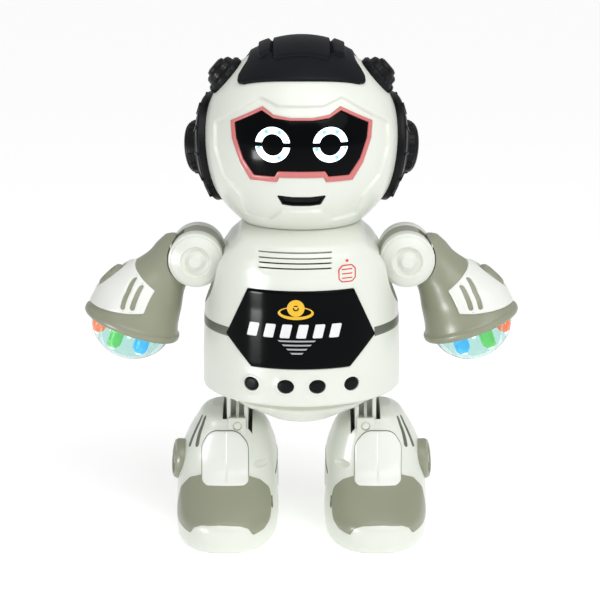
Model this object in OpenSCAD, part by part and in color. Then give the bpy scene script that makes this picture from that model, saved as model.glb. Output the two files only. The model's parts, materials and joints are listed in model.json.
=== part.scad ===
// Dancing toy robot, millimetres. +Z up, the face looks along -Y, soles at z = 0.
// Side "l" lies at x < 0, side "r" at x > 0.

/* [Head] */
// outer radius of the head ball
head_r = 44; // [43.5:0.1:44.2]
// radius of the ear cup plate
ear_r = 24; // [22:0.5:25]
// thickness of the crown cap over the head
cap_t = 2.6; // [2:0.2:3]

/* [Torso] */
// outer radius at the foot of the torso
body_r = 45; // [44:0.2:45.4]
// wall thickness of all shells
wall = 2; // [1.6:0.1:2.4]
// proud height of the chest panel
panel_t = 0.8; // [0.5:0.1:1.2]
// radius of the push buttons
button_r = 3.3; // [2.6:0.1:3.6]

/* [Arms] */
// radius of the shoulder puck
puck_r = 12.3; // [11.6:0.1:12.6]
// radius of the bell mouth
bell_r = 22; // [21:0.2:23]
// depth of the light dome below the mouth
dome_h = 9; // [6:0.5:11]

/* [Legs] */
// half width of a boot
boot_w = 23; // [22:0.2:23.6]
// half length of a boot
boot_l = 43; // [40:0.5:44]
// thickness of the sole pads
pad_t = 1.2; // [0.8:0.1:1.4]

/* [Hidden] */
gap = 0.3;
head_z = 179.5;
neck_z = 143.8;
base_z = 69;
slot_z = [130.2, 132.4, 134.6, 136.9];
panel_top = 120.3;
panel_mid = 98.6;
panel_low = 86.3;
belt_z = 98.4;
belt_h = 4.4;
button_z = 78.3;
button_a = [-29, -8.8, 8.8, 29];
puck_x = 47;
puck_z = 127.5;
puck_y = 16.3;
pocket_r = 21.5;
pocket_x = puck_x - puck_r - gap;
mouth_x = 76.9;
mouth_z = 95.8;
tilt = 19.7;
boot_x = 34;
leg_x = 29;
hip_z = 77;
ankle_z = 51;
pin_r = 2;
gear_z = 92;
gear_n = 28;
pinion_n = 8;
gear_m = 1;
mesh_d = (gear_n + pinion_n) * gear_m / 2 + 0.15;
front_reach = (body_r + 0.8) * cos(8.8) + (button_r - 0.7) * sin(8.8);

ivory = [0.90, 0.92, 0.87];
white = [0.95, 0.96, 0.93];
olive = [0.58, 0.60, 0.50];
stripe = [0.43, 0.45, 0.38];
black = [0.04, 0.05, 0.06];
charcoal = [0.16, 0.17, 0.18];
coral = [0.85, 0.46, 0.46];
steel = [0.75, 0.76, 0.78];
green = [0.10, 0.35, 0.20];

// torso ---------------------------------------------------------------

// radius and height points of the round body, inset by d
function body_points(d) = [
  [0, base_z + d], [body_r - d, base_z + d], [body_r - d, 84], [body_r - 0.7 - d, 98],
  [body_r - 1.4 - d, 112], [body_r - 1.8 - d, 128], [body_r - 3 - d, 135 - d * 0.3],
  [body_r - 6 - d, 138.6 - d * 0.7], [33 - d, 140.6 - d], [28.2 - d, 142 - d],
  [26.2 - d, neck_z - d], [0, neck_z - d]];

// front view of the torso: shoulders slope in above the chest
function front_points(d) = [
  [46 - d, base_z - 5], [45.4 - d, 90], [44.4 - d, 108], [42.6 - d, 116], [40 - d, 122],
  [37 - d, 127.5], [34.8 - d, 131.6], [32.8 - d, 134.8 - d * 0.4], [29 - d, 137 - d * 0.7],
  [27 - d, 139 - d * 0.7], [27 - d, neck_z + 2]];

function mirror_points(p) = concat(p, [for (i = [len(p) - 1:-1:0]) [-p[i][0], p[i][1]]]);

module front_prism(half = 60) {
  rotate([90, 0, 0])
    linear_extrude(height = 2 * half, center = true)
      children();
}

module body_solid(d) {
  difference() {
    intersection() {
      rotate_extrude($fn = 96)
        polygon(body_points(d));
      front_prism()
        polygon(mirror_points(front_points(d)));
    }
    for (s = [-1, 1])
      translate([s * (pocket_x - d + 10), 0, puck_z])
        rotate([0, 90, 0])
          cylinder(h = 20, r = pocket_r + d, center = true, $fn = 64);
  }
}

module body_shell() {
  difference() {
    body_solid(0);
    body_solid(wall);
    translate([0, 0, base_z - 1])
      cylinder(h = wall + 2, r = body_r - wall, $fn = 96);
    translate([0, 0, neck_z - wall - 1])
      cylinder(h = wall + 2, r = 18, $fn = 64);
    for (s = [-1, 1])
      translate([s * (pocket_x - 1), 0, puck_z])
        rotate([0, 90, 0])
          cylinder(h = 8, r = 4.56, center = true, $fn = 48);
    belt_groove();
  }
}

module belt_groove() {
  translate([0, 0, belt_z - belt_h / 2])
    difference() {
      cylinder(h = belt_h, r = body_r + 1, $fn = 96);
      translate([0, 0, -1])
        cylinder(h = belt_h + 2, r = body_r - 1.6, $fn = 96);
    }
}

module half_space(sign) {
  translate([-60, sign > 0 ? 0.05 : -120.05, 0])
    cube([120, 120, 240]);
}

// hexagon of the chest panel, grown by d
module panel_outline(d = 0) {
  offset(delta = d)
    polygon([
      [-23, panel_top], [23, panel_top], [33.2, panel_mid], [22.4, panel_low],
      [-22.4, panel_low], [-33.2, panel_mid]]);
}

module front_region(y0 = 60) {
  translate([0, 0, 0])
    rotate([90, 0, 0])
      linear_extrude(height = y0)
        children();
}

module torso_front_shell() {
  color(ivory)
    difference() {
      intersection() {
        body_shell();
        half_space(-1);
      }
      difference() {
        front_region()
          panel_outline(0.15);
        translate([0, 0, 80])
          cylinder(h = 60, r = body_r - 2.7 + 1.2, $fn = 96);
      }
      for (z = slot_z)
        translate([-18.8, -60, z - 0.45])
          cube([32, 40, 0.9]);
      for (a = button_a)
        rotate([0, 0, a])
          translate([0, -body_r, button_z])
            rotate([90, 0, 0])
              cylinder(h = 20, r = button_r + 0.35, center = true, $fn = 48);
    }
}

module torso_rear_shell() {
  color(ivory)
    difference() {
      intersection() {
        body_shell();
        half_space(1);
      }
      translate([-23, 30, 76])
        cube([46, 30, 56]);
      translate([-6, 30, 71.7])
        cube([12, 30, 3.4]);
    }
}

module waist_band() {
  color(stripe)
    difference() {
      translate([0, 0, belt_z - belt_h / 2 + 0.1])
        difference() {
          cylinder(h = belt_h - 0.2, r = body_r - 0.35, $fn = 96);
          translate([0, 0, -1])
            cylinder(h = belt_h + 2, r = body_r - 1.5, $fn = 96);
        }
      front_region()
        panel_outline(0.15);
      translate([-23.5, 30, 76])
        cube([47, 30, 56]);
    }
}

module chest_panel() {
  color(black)
    intersection() {
      front_region()
        panel_outline(0);
      difference() {
        translate([0, 0, 80])
          cylinder(h = 50, r = body_r - 0.5 + panel_t, $fn = 96);
        translate([0, 0, 79])
          cylinder(h = 52, r = body_r - 1.4, $fn = 96);
      }
    }
}

module hip_base() {
  color(ivory)
    difference() {
      rotate_extrude($fn = 96)
        polygon([
          [0, 56.6], [12, 56.6], [20, 58], [27, 60.6], [32, 63.8], [34, 66.6], [32.6, 67.4],
          [32.6, base_z], [body_r - wall - 0.1, base_z], [body_r - wall - 0.1, base_z + 2],
          [28, base_z + 2], [28, 66], [20, 61], [0, 59]]);
      for (s = [-1, 1])
        translate([s * leg_x - 7.5, -13, 50])
          cube([15, 26, 25]);
      for (a = [45:90:315])
        rotate([0, 0, a])
          translate([0, 38.5, 50])
            cylinder(h = 30, r = 1.7, $fn = 24);
    }
  color(ivory)
    for (s = [-1, 1], k = [-1, 1])
      translate([s * leg_x, k * 15, 0])
        difference() {
          translate([-6, -1.5, base_z + 1.9])
            cube([12, 3, 12]);
          translate([0, 0, hip_z])
            rotate([90, 0, 0])
              cylinder(h = 8, r = pin_r + 0.05, center = true, $fn = 32);
        }
}

module speaker() {
  color(charcoal)
    translate([0, -36.6, 121])
      rotate([-90, 0, 0]) {
        difference() {
          cylinder(h = 1.6, r = 14, $fn = 64);
          translate([0, 0, -1])
            cylinder(h = 2, r1 = 13, r2 = 10, $fn = 64);
        }
        translate([0, 0, 1.6])
          cylinder(h = 2.6, r1 = 11, r2 = 6.5, $fn = 64);
        translate([0, 0, 4.2])
          cylinder(h = 2.6, r = 6.5, $fn = 48);
      }
}

module circuit_board() {
  color(green) {
    translate([-19, -31, 72])
      cube([38, 1.6, 28]);
    for (x = [-12, 4])
      translate([x, -32, 86])
        cube([8, 1.2, 8]);
    for (a = button_a)
      intersection() {
        rotate([0, 0, a])
          translate([0, -20, button_z])
            rotate([90, 0, 0])
              cylinder(h = 38.6 - 20, r = 1.8, $fn = 24);
        translate([-30, -50, 70])
          cube([60, 20, 20]);
      }
  }
}

module battery_box() {
  color(charcoal)
    difference() {
      translate([-24.2, 17.6, 74])
        cube([48.4, 15, 56]);
      translate([-22.6, 19.4, 76])
        cube([45.2, 20, 52.4]);
    }
}

module batteries() {
  for (i = [-1, 0, 1])
    color(steel)
      translate([i * 15, 27.2, 77.4]) {
        cylinder(h = 49, r = 7.1, $fn = 48);
        translate([0, 0, 49])
          cylinder(h = 1.4, r = 2.7, $fn = 32);
      }
}

module battery_door() {
  color(ivory)
    difference() {
      intersection() {
        body_solid(0);
        translate([-22.7, 30, 76.3])
          cube([45.4, 30, 55.4]);
      }
      body_solid(wall);
      translate([0, 0, 127])
        rotate([-90, 0, 0])
          cylinder(h = 60, r = 1.7, $fn = 24);
      for (x = [-12:4:12])
        translate([x - 0.6, body_r - 4, 84])
          rotate([0, 0, 0])
            cube([1.2, 4, 14]);
    }
}

module door_screw() {
  color(steel)
    translate([0, 0, 127])
      difference() {
        rotate([-90, 0, 0]) {
          translate([0, 0, 36])
            cylinder(h = front_reach - 37, r = 1.6, $fn = 24);
          translate([0, 0, front_reach - 1.6])
            cylinder(h = 1.6, r = 3, $fn = 32);
        }
        translate([-0.4, front_reach - 0.8, -2.2])
          cube([0.8, 2, 4.4]);
        translate([-2.2, front_reach - 0.8, -0.4])
          cube([4.4, 2, 0.8]);
      }
}

module power_switch() {
  color(black)
    translate([0, 0, 73.4]) {
      translate([-1.8, 40.6, -1.4])
        cube([3.6, 5, 2.8]);
      translate([-7.5, 39, -1.9])
        cube([15, 1.8, 3.8]);
    }
}

module push_button(i) {
  color(black)
    rotate([0, 0, button_a[i]])
      translate([0, 0, button_z])
        rotate([90, 0, 0]) {
          translate([0, 0, 41.8])
            cylinder(h = body_r + 0.3 - 41.8, r = button_r, $fn = 48);
          translate([0, 0, body_r + 0.3])
            cylinder(h = 0.5, r1 = button_r, r2 = button_r - 0.7, $fn = 48);
          translate([0, 0, 41])
            cylinder(h = 1.2, r = button_r + 1, $fn = 48);
          translate([0, 0, 39.8])
            cylinder(h = 1.4, r = 1.6, $fn = 24);
        }
}

// gear train -----------------------------------------------------------

module gear(n, h) {
  r = n * gear_m / 2;
  linear_extrude(height = h)
    union() {
      circle(r = r - 1.2 * gear_m, $fn = 64);
      for (i = [0:n - 1])
        rotate(i * 360 / n)
          polygon([
            [r - 1.4, -0.78], [r - 0.1, -0.6], [r + 0.85, -0.28],
            [r + 0.85, 0.28], [r - 0.1, 0.6], [r - 1.4, 0.78]]);
    }
}

module motor() {
  color(steel)
    translate([0, -5, gear_z + mesh_d])
      rotate([90, 0, 0])
        difference() {
          union() {
            cylinder(h = 22, r = 9.6, $fn = 64);
            translate([0, 0, 22])
              cylinder(h = 1.6, r = 3, $fn = 32);
            translate([0, 0, -0.3])
              cylinder(h = 2, r = 3, $fn = 32);
          }
          translate([0, 0, -2])
            cylinder(h = 10, r = 1.05, $fn = 24);
        }
}

module motor_pinion() {
  color(steel)
    translate([0, -0.4, gear_z + mesh_d])
      rotate([90, 0, 0]) {
        difference() {
          rotate([0, 0, 180 / pinion_n])
            gear(pinion_n, 4);
          translate([0, 0, -1])
            cylinder(h = 3, r = 0.8, $fn = 24);
        }
        translate([0, 0, 3.9])
          cylinder(h = 7, r = 1, $fn = 24);
      }
}

module drive_gear() {
  color(white)
    translate([0, -0.4, gear_z])
      rotate([90, 0, 0])
        difference() {
          union() {
            gear(gear_n, 4);
            translate([0, 0, 4])
              cylinder(h = 1, r = 4, $fn = 32);
            translate([6, 0, 4])
              cylinder(h = 4, r = 1.8, $fn = 32);
          }
          translate([0, 0, -1])
            cylinder(h = 9, r = 2.05, $fn = 32);
          for (a = [60:60:300])
            rotate([0, 0, a])
              translate([8.4, 0, -1])
                cylinder(h = 6, r = 2.2, $fn = 32);
        }
}

module gear_frame() {
  color(charcoal) {
    translate([-16, 1, base_z + 2])
      cube([32, 2.4, 50.5]);
    translate([0, 1.5, gear_z])
      rotate([90, 0, 0])
        cylinder(h = 8.5, r = 2, $fn = 32);
    for (s = [-1, 1])
      translate([s * 11.2 - 1.2, -26, 108])
        cube([2.4, 28, 4]);
    difference() {
      translate([-12.4, -24, 108])
        cube([24.8, 16, 4]);
      translate([0, 0, gear_z + mesh_d])
        rotate([90, 0, 0])
          cylinder(h = 60, r = 9.7, center = true, $fn = 64);
    }
  }
}

module torso_screws() {
  color(steel)
    for (a = [45, 135, 225, 315])
      rotate([0, 0, a])
        translate([0, 38.5, 0]) {
          translate([0, 0, base_z - 1.4])
            cylinder(h = 1.4, r = 2.8, $fn = 32);
          translate([0, 0, base_z - 0.2])
            cylinder(h = 9, r = 1.5, $fn = 24);
        }
}

module neck_ring() {
  color(charcoal)
    translate([0, 0, neck_z - 4.4])
      difference() {
        union() {
          cylinder(h = 4.4, r = 17.8, $fn = 64);
          cylinder(h = 2, r = 20, $fn = 64);
        }
        translate([0, 0, -1])
          cylinder(h = 8, r = 11.06, $fn = 64);
      }
}

// head -----------------------------------------------------------------

module ball(r) {
  translate([0, 0, head_z])
    sphere(r = r, $fn = 96);
}

// outline of the coral border, front view, grown by d
module border_outline(d = 0) {
  offset(delta = d)
    polygon(mirror_points([
      [9.9, 169.4], [10.8, 167.2], [22.6, 167.4], [26.9, 175], [30, 185], [30.7, 192],
      [17.2, 200], [12.4, 196.7], [5, 195.5]]));
}

module visor_outline(d = 0) {
  offset(delta = d)
    polygon(mirror_points([
      [10.4, 172.2], [11.9, 169.7], [21, 169.9], [24.8, 176.8], [27.6, 185.4], [28.5, 191.6],
      [17.4, 198.2], [12.3, 195.3], [5, 194.4]]));
}

module mouth_outline(d = 0) {
  offset(delta = d)
    polygon(mirror_points([[4, 156], [8.2, 156.7], [10.4, 161.1], [4, 160.5]]));
}

// raised frame around the face
module face_outline(d = 0) {
  offset(delta = d)
    polygon(mirror_points([
      [8.6, 153.6], [13.6, 148.6], [24.4, 150.2], [26.6, 159.6], [34.4, 168.2], [38, 180],
      [38, 190.4], [36.6, 191.6], [17.4, 203.4], [9.6, 200.1]]));
}

module eye_ring(r0, r1) {
  difference() {
    circle(r = r1, $fn = 64);
    circle(r = r0, $fn = 64);
    square([2 * r1 + 2, 1.9], center = true);
  }
}

module head_shell() {
  difference() {
    ball(head_r);
    ball(head_r - wall);
    translate([-60, -60, 0])
      cube([120, 120, neck_z + 0.6]);
  }
}

module head_front_shell() {
  color(ivory)
    difference() {
      intersection() {
        head_shell();
        half_space(-1);
      }
      difference() {
        front_region()
          face_outline(0);
        ball(head_r - 0.6);
      }
      front_region()
        border_outline(0.1);
      front_region()
        mouth_outline(0.1);
    }
}

module head_rear_shell() {
  color(ivory)
    difference() {
      intersection() {
        head_shell();
        half_space(1);
      }
      for (x = [-10:4:10])
        translate([x - 0.8, 20, 168])
          cube([1.6, 40, 16]);
    }
}

module visor_border() {
  color(coral)
    intersection() {
      difference() {
        ball(head_r + 0.1);
        ball(head_r - wall);
      }
      front_region()
        difference() {
          border_outline(0);
          visor_outline(0.1);
        }
    }
}

module visor() {
  color(black)
    difference() {
      intersection() {
        difference() {
          ball(head_r - 0.2);
          ball(head_r - wall);
        }
        front_region()
          visor_outline(0);
      }
      for (s = [-1, 1])
        front_region()
          translate([s * 12.6, 183.9])
            difference() {
              circle(r = 7.9, $fn = 64);
              circle(r = 4.6, $fn = 64);
              square([20, 1.7], center = true);
            }
    }
}

module eye_lights() {
  color(white)
    intersection() {
      difference() {
        ball(head_r - 0.15);
        ball(head_r - wall - 0.2);
      }
      front_region()
        for (s = [-1, 1])
          translate([s * 12.6, 183.9])
            eye_ring(4.7, 7.8);
    }
}

module mouth_insert() {
  color(black)
    intersection() {
      difference() {
        ball(head_r - 1);
        ball(head_r - wall - 0.6);
      }
      front_region()
        mouth_outline(0);
    }
}

module crown_outline(d = 0) {
  offset(delta = d)
    polygon([
      [-27.2, -21], [-20, -28.4], [-13, -32], [0, -34], [13, -32], [20, -28.4], [27.2, -21],
      [26.6, -17], [23, -9], [22.6, 0], [23, 9], [26.6, 17], [27.2, 21], [20, 28.4],
      [13, 32], [0, 34], [-13, 32], [-20, 28.4], [-27.2, 21], [-26.6, 17], [-23, 9],
      [-22.6, 0], [-23, -9], [-26.6, -17]]);
}

module crown_cap() {
  color(charcoal) {
    difference() {
      intersection() {
        ball(head_r + cap_t - 0.6);
        translate([0, 0, head_z + 20])
          linear_extrude(height = 40)
            crown_outline();
      }
      ball(head_r + 0.05);
    }
    difference() {
      intersection() {
        ball(head_r + cap_t);
        translate([-11.8, -22, head_z + 20])
          cube([23.6, 44, 40]);
      }
      ball(head_r + 1);
    }
    for (s = [-1, 1])
      difference() {
        intersection() {
          ball(head_r + cap_t + 0.4);
          translate([s * 15.5 - 2.2, -17, head_z + 20])
            cube([4.4, 34, 40]);
        }
        ball(head_r + 1);
      }
  }
}

// the ears lean a little to the back
module ear_side(s) {
  rotate([0, 0, s * 14])
    translate([s * 36, 0, 175])
      rotate([0, s * 90, 0])
        children();
}

module ear_bases() {
  color(charcoal)
    for (s = [-1, 1])
      difference() {
        intersection() {
          ball(head_r + 3.6);
          ear_side(s)
            cylinder(h = 20, r = ear_r + 0.8, $fn = 72);
        }
        ball(head_r + 0.05);
        difference() {
          ear_side(s)
            cylinder(h = 20, r = 12.6, $fn = 64);
          ball(head_r + 1.2);
        }
        ear_side(s)
          for (a = [0:30:330])
            rotate([0, 0, a])
              translate([19, 0, 10])
                cube([7, 1.4, 8], center = true);
      }
}

module ear_hubs() {
  color(charcoal)
    for (s = [-1, 1])
      difference() {
        ear_side(s)
          difference() {
            union() {
              cylinder(h = 13, r = 12.4, $fn = 64);
              translate([0, 0, 13])
                cylinder(h = 2.6, r1 = 12.4, r2 = 10.8, $fn = 64);
            }
            translate([0, 0, 14.4])
              cylinder(h = 3, r = 8.2, $fn = 64);
            for (a = [0:45:315])
              rotate([0, 0, a])
                translate([12.2, 0, 13])
                  cube([2.4, 2.4, 4], center = true);
          }
        ball(head_r + 1.25);
      }
}

module temple_knobs() {
  color(charcoal)
    for (s = [-1, 1])
      difference() {
        translate([0, 0, head_z])
          rotate([0, s * 49, 0])
            translate([0, -2, 0]) {
              cylinder(h = head_r + 2, r = 9, $fn = 48);
              cylinder(h = head_r + 5, r = 6.6, $fn = 48);
              cylinder(h = head_r + 6.6, r = 4.6, $fn = 48);
            }
        ball(head_r + 0.05);
      }
}

module head_board() {
  color(green)
    difference() {
      translate([-20, -32.5, 172])
        cube([40, 1.6, 22]);
      for (s = [-1, 1])
        translate([s * 17, -40, 175])
          rotate([-90, 0, 0])
            cylinder(h = 20, r = 1.2, $fn = 24);
    }
}

module head_spindle() {
  color(ivory)
    difference() {
      union() {
        translate([0, 0, neck_z + 0.6])
          cylinder(h = 2, r = 22.9, $fn = 64);
        translate([0, 0, neck_z - 7])
          cylinder(h = 9, r = 11, $fn = 64);
        translate([0, 0, neck_z - 7])
          cylinder(h = 2.3, r = 14, $fn = 64);
      }
      translate([0, 0, neck_z - 9])
        cylinder(h = 20, r = 8.5, $fn = 48);
    }
}

// shoulders and arms, drawn for the side at x > 0 -----------------------

module side(s) {
  if (s > 0)
    children();
  else
    mirror([1, 0, 0])
      children();
}

module puck_axis() {
  translate([puck_x, 0, puck_z])
    rotate([90, 0, 0])
      children();
}

module window_wedge() {
  linear_extrude(height = 9, center = true)
    polygon([
      [0, 0], [30 * cos(-50), 30 * sin(-50)], [42, 0],
      [30 * cos(62), 30 * sin(62)]]);
}

module shoulder_hub() {
  color(olive) {
    puck_axis()
      difference() {
        cylinder(h = 13, r = puck_r - 0.3, center = true, $fn = 64);
        cylinder(h = 20, r = puck_r - 2.5, center = true, $fn = 64);
        window_wedge();
      }
    difference() {
      translate([28, 0, puck_z])
        rotate([0, 90, 0]) {
          cylinder(h = 9, r = 4.5, $fn = 48);
          cylinder(h = 3.2, r = 5.8, $fn = 48);
        }
      puck_axis()
        cylinder(h = 30, r = puck_r - 2.4, center = true, $fn = 64);
    }
  }
}

module shoulder_front_cap() {
  color(ivory)
    puck_axis() {
      difference() {
        union() {
          translate([0, 0, 6.6])
            cylinder(h = 6.4, r = puck_r, $fn = 64);
          translate([0, 0, 13])
            cylinder(h = 3.3, r1 = puck_r, r2 = puck_r - 3, $fn = 64);
        }
        translate([0, 0, 5])
          cylinder(h = 9, r = puck_r - wall, $fn = 64);
        translate([0, 0, 15.5])
          cylinder(h = 2, r = 6.2, $fn = 48);
      }
      translate([0, 0, 15])
        cylinder(h = 2, r1 = 3.6, r2 = 2.6, $fn = 48);
      translate([0, 0, -6])
        cylinder(h = 21, r = 3, $fn = 48);
    }
}

module shoulder_rear_cap() {
  color(ivory)
    puck_axis()
      difference() {
        union() {
          translate([0, 0, -13])
            cylinder(h = 6.4, r = puck_r, $fn = 64);
          translate([0, 0, -puck_y])
            cylinder(h = 3.3, r1 = puck_r - 3, r2 = puck_r, $fn = 64);
        }
        translate([0, 0, -14])
          cylinder(h = 9, r = puck_r - wall, $fn = 64);
        translate([0, 0, -puck_y - 1])
          cylinder(h = 2, r = 2.6, $fn = 32);
      }
}

module bell_frame() {
  translate([mouth_x, 0, mouth_z])
    rotate([0, -tilt, 0])
      children();
}

// flat disc at height t, centre offset x outward
module disc(t, x, r) {
  translate([x, 0, t])
    cylinder(h = 0.4, r = r, center = true, $fn = 40);
}

module bell_lower(d) {
  hull() {
    disc(0.2, 0, bell_r - d);
    disc(5, 0.1, bell_r - 1.6 - d);
    disc(14, 0.3, bell_r - 2.8 - d);
    disc(24, -2.3, bell_r - 7 - d);
  }
}

module bell_upper(d) {
  hull() {
    disc(14, 0.3, bell_r - 2.8 - d);
    disc(24, -2.3, bell_r - 7 - d);
    disc(29, -5.4, bell_r - 9.4 - d);
  }
  hull() {
    disc(24, -3.3, bell_r - 9 - d);
    disc(34 - d, -10.6, bell_r - 10.8 - d);
    disc(44.5 - d, -14.6, bell_r - 12 - d);
  }
}

module arm_shell() {
  color(olive) {
    difference() {
      bell_frame()
        difference() {
          union() {
            bell_lower(0);
            bell_upper(0);
            translate([0, 0, 0.9])
              rotate_extrude($fn = 64)
                translate([bell_r - 0.7, 0])
                  circle(r = 1.1, $fn = 16);
          }
          bell_lower(wall);
          bell_upper(wall);
          translate([0, 0, -1])
            cylinder(h = 2, r = bell_r - 1.8, $fn = 64);
        }
      puck_axis()
        cylinder(h = 60, r = puck_r + 0.5, center = true, $fn = 64);
    }
    bell_knob(0);
    arm_tongue();
  }
}

module bell_knob(d) {
  bell_frame()
    translate([17.6, 0, 17.5])
      rotate([0, 62, 0])
        cylinder(h = 3.4 + d, r1 = 6.4 + d, r2 = 5.4 + d, $fn = 48);
}

module arm_tongue() {
  puck_axis()
    difference() {
      union() {
        cylinder(h = 6, r = 6.4, center = true, $fn = 48);
        rotate([0, 0, -16])
          translate([0, -3.4, -3])
            cube([19, 6.8, 6]);
      }
      cylinder(h = 10, r = 3.06, center = true, $fn = 48);
    }
  puck_axis()
    rotate([0, 0, -21])
      translate([15.2, -2, -11.5])
        cube([2.6, 4, 23]);
}

module armour_outline() {
  polygon([
    [9.8, 26.5], [2, 20.5], [-4.6, 16.3], [-3.6, 6], [2, 4.3], [12, 4], [20.2, 4.6],
    [24, 6], [22, 14], [16.5, 20], [13, 25]]);
}

module arm_armour() {
  color(white)
    difference() {
      armour_plate();
      bell_knob(0.1);
    }
}

module armour_plate() {
  bell_frame()
    intersection() {
      difference() {
        bell_lower(-1);
        bell_lower(-0.05);
      }
      rotate([90, 0, 0])
        linear_extrude(height = 40)
          difference() {
            armour_outline();
            for (p = [[5.6, 12.2, 12], [0.6, 11, 9.4]])
              translate([p[0], p[1]])
                rotate(-14)
                  square([2.4, p[2]], center = true);
          }
    }
}

module arm_lens() {
  sr = (19.6 * 19.6 + dome_h * dome_h) / (2 * dome_h);
  color([0.8, 0.9, 0.95, 0.6])
    bell_frame()
      difference() {
        translate([0, 0, sr - dome_h])
          difference() {
            sphere(r = sr, $fn = 64);
            sphere(r = sr - 1.4, $fn = 64);
          }
        translate([0, 0, 40.2])
          cube([80, 80, 80], center = true);
      }
}

module arm_lights() {
  color(green)
    bell_frame()
      translate([0, 0, 3])
        cylinder(h = 1.6, r = 17.4, $fn = 64);
  color(white)
    bell_frame()
      for (a = [45:90:315])
        rotate([0, 0, a])
          translate([10, 0, -1])
            cylinder(h = 4.2, r1 = 1.8, r2 = 2.5, $fn = 32);
}

// legs, drawn for the side at x > 0 ------------------------------------

module leg_strut() {
  color(ivory)
    translate([leg_x, 0, 0])
      union() {
        difference() {
          translate([-4.8, -12, ankle_z - 5])
            cube([9.6, 24, hip_z - ankle_z + 10]);
          for (y = [-14, 4])
            translate([-3, y, ankle_z + 3])
              cube([6, 10, hip_z - ankle_z - 6]);
        }
        for (p = [[ankle_z, 28.4], [hip_z, 32.6]])
          translate([0, 0, p[0]])
            rotate([90, 0, 0])
              cylinder(h = p[1], r = pin_r, center = true, $fn = 32);
      }
}

// side view, front view and plan of a boot, inset by d
module boot_side(d) {
  offset(delta = -d)
    polygon([
      [-boot_l + 1, 0.9], [-boot_l, 5], [-boot_l, 8], [-42, 12.6], [-38.5, 15.6], [-31, 20.6], [-24, 25.4],
      [-19.6, 29.4], [-17.2, 34], [-15.6, 42], [-14, 50], [-11, 55.4], [-5, 58],
      [8, 58.4], [16, 57], [21.4, 52.6], [25.6, 44], [29, 34], [33.4, 24], [39, 14.6],
      [boot_l - 0.6, 8], [boot_l - 0.6, 5], [boot_l - 1, 0.9]]);
}

module boot_front(d) {
  offset(delta = -d)
    polygon([
      [-boot_w + 0.7, 0.9], [-boot_w - 0.2, 4], [-boot_w - 0.4, 8], [-boot_w + 0.2, 20], [-boot_w + 1.6, 32],
      [-boot_w + 4.2, 41], [-boot_w + 7.6, 49], [-8, 55], [-2, 58], [8, 59.6],
      [13, 57], [boot_w - 6, 51], [boot_w - 2.4, 42], [boot_w - 0.6, 32],
      [boot_w + 0.2, 20], [boot_w + 0.4, 8], [boot_w + 0.2, 4], [boot_w - 0.7, 0.9]]);
}

module boot_plan(d) {
  offset(delta = -d)
    polygon([
      for (a = [0:9:351])
        [(boot_w + 0.4) * sign(cos(a)) * pow(abs(cos(a)), 0.8),
         boot_l * sign(sin(a)) * pow(abs(sin(a)), 0.8)]]);
}

module boot_solid(d) {
  intersection() {
    rotate([90, 0, 90])
      linear_extrude(height = 60, center = true)
        boot_side(d);
    rotate([90, 0, 0])
      linear_extrude(height = 120, center = true)
        boot_front(d);
    linear_extrude(height = 70)
      boot_plan(d);
  }
}

module boot_wall() {
  difference() {
    boot_solid(0);
    boot_solid(wall);
    linear_extrude(height = 5)
      boot_plan(wall + 0.6);
  }
}

module toe_region(d) {
  offset(delta = d)
    polygon([
      [-20.4, -18.6], [20.4, -18.6], [20.8, -32], [15, -38.6], [11, -36.6], [0, -37.4],
      [-11, -36.6], [-15, -38.6], [-20.8, -32]]);
}

module shin_region(d) {
  offset(delta = d)
    polygon([
      [-10.4, 31], [-8, 29.2], [8, 29.2], [10.4, 31], [10.4, 45], [6, 49.4], [-6, 49.4],
      [-10.4, 45]]);
}

module at_boot() {
  translate([boot_x, 0, 0])
    children();
}

module boot_shell() {
  color(ivory)
    at_boot()
      difference() {
        boot_wall();
        difference() {
          translate([0, 0, 9.9])
            linear_extrude(height = 19.2)
              toe_region(0.1);
          boot_solid(1.2);
        }
        difference() {
          front_region()
            shin_region(0.1);
          boot_solid(1.2);
        }
        translate([leg_x - boot_x - 9.6, -12.6, 44])
          cube([19.2, 25.2, 30]);
        for (k = [-1, 1])
          translate([leg_x - boot_x, k * 14, ankle_z])
            rotate([90, 0, 0])
              cylinder(h = 6, r = pin_r + 0.05, center = true, $fn = 32);
      }
  color(ivory)
    boot_bearings();
}

module boot_bearings() {
  at_boot()
    for (k = [-1, 1])
      difference() {
        translate([leg_x - boot_x - 4, k * 13.2 - 0.9, 4.4])
          cube([8, 1.8, ankle_z - 0.4]);
        translate([leg_x - boot_x, k * 14, ankle_z])
          rotate([90, 0, 0])
            cylinder(h = 9, r = pin_r + 0.05, center = true, $fn = 32);
      }
}

module toe_cap() {
  color(olive)
    at_boot()
      intersection() {
        difference() {
          boot_solid(-0.3);
          boot_solid(1.15);
        }
        translate([0, 0, 10])
          linear_extrude(height = 19)
            toe_region(0);
      }
}

module shin_panel() {
  color(white)
    at_boot()
      intersection() {
        difference() {
          boot_solid(-0.8);
          boot_solid(1.15);
          translate([-30, -14.5, 20])
            cube([60, 30, 40]);
        }
        front_region()
          shin_region(0);
      }
}

module boot_badge() {
  color(olive)
    at_boot()
      difference() {
        translate([boot_w - 1.6, 2, 31])
          rotate([0, 84, 0])
            difference() {
              cylinder(h = 4.2, r1 = 6.8, r2 = 5.8, $fn = 48);
              translate([0, 0, 3.4])
                cylinder(h = 3, r = 4.4, $fn = 48);
            }
        boot_solid(-0.05);
      }
}

module sole() {
  color(charcoal)
    at_boot() {
      translate([0, 0, pad_t])
        linear_extrude(height = 4.4 - pad_t)
          boot_plan(wall + 0.9);
      for (y = [-26, 26])
        translate([0, y, 0])
          cylinder(h = pad_t + 0.1, r = 12, $fn = 48);
    }
}

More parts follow.
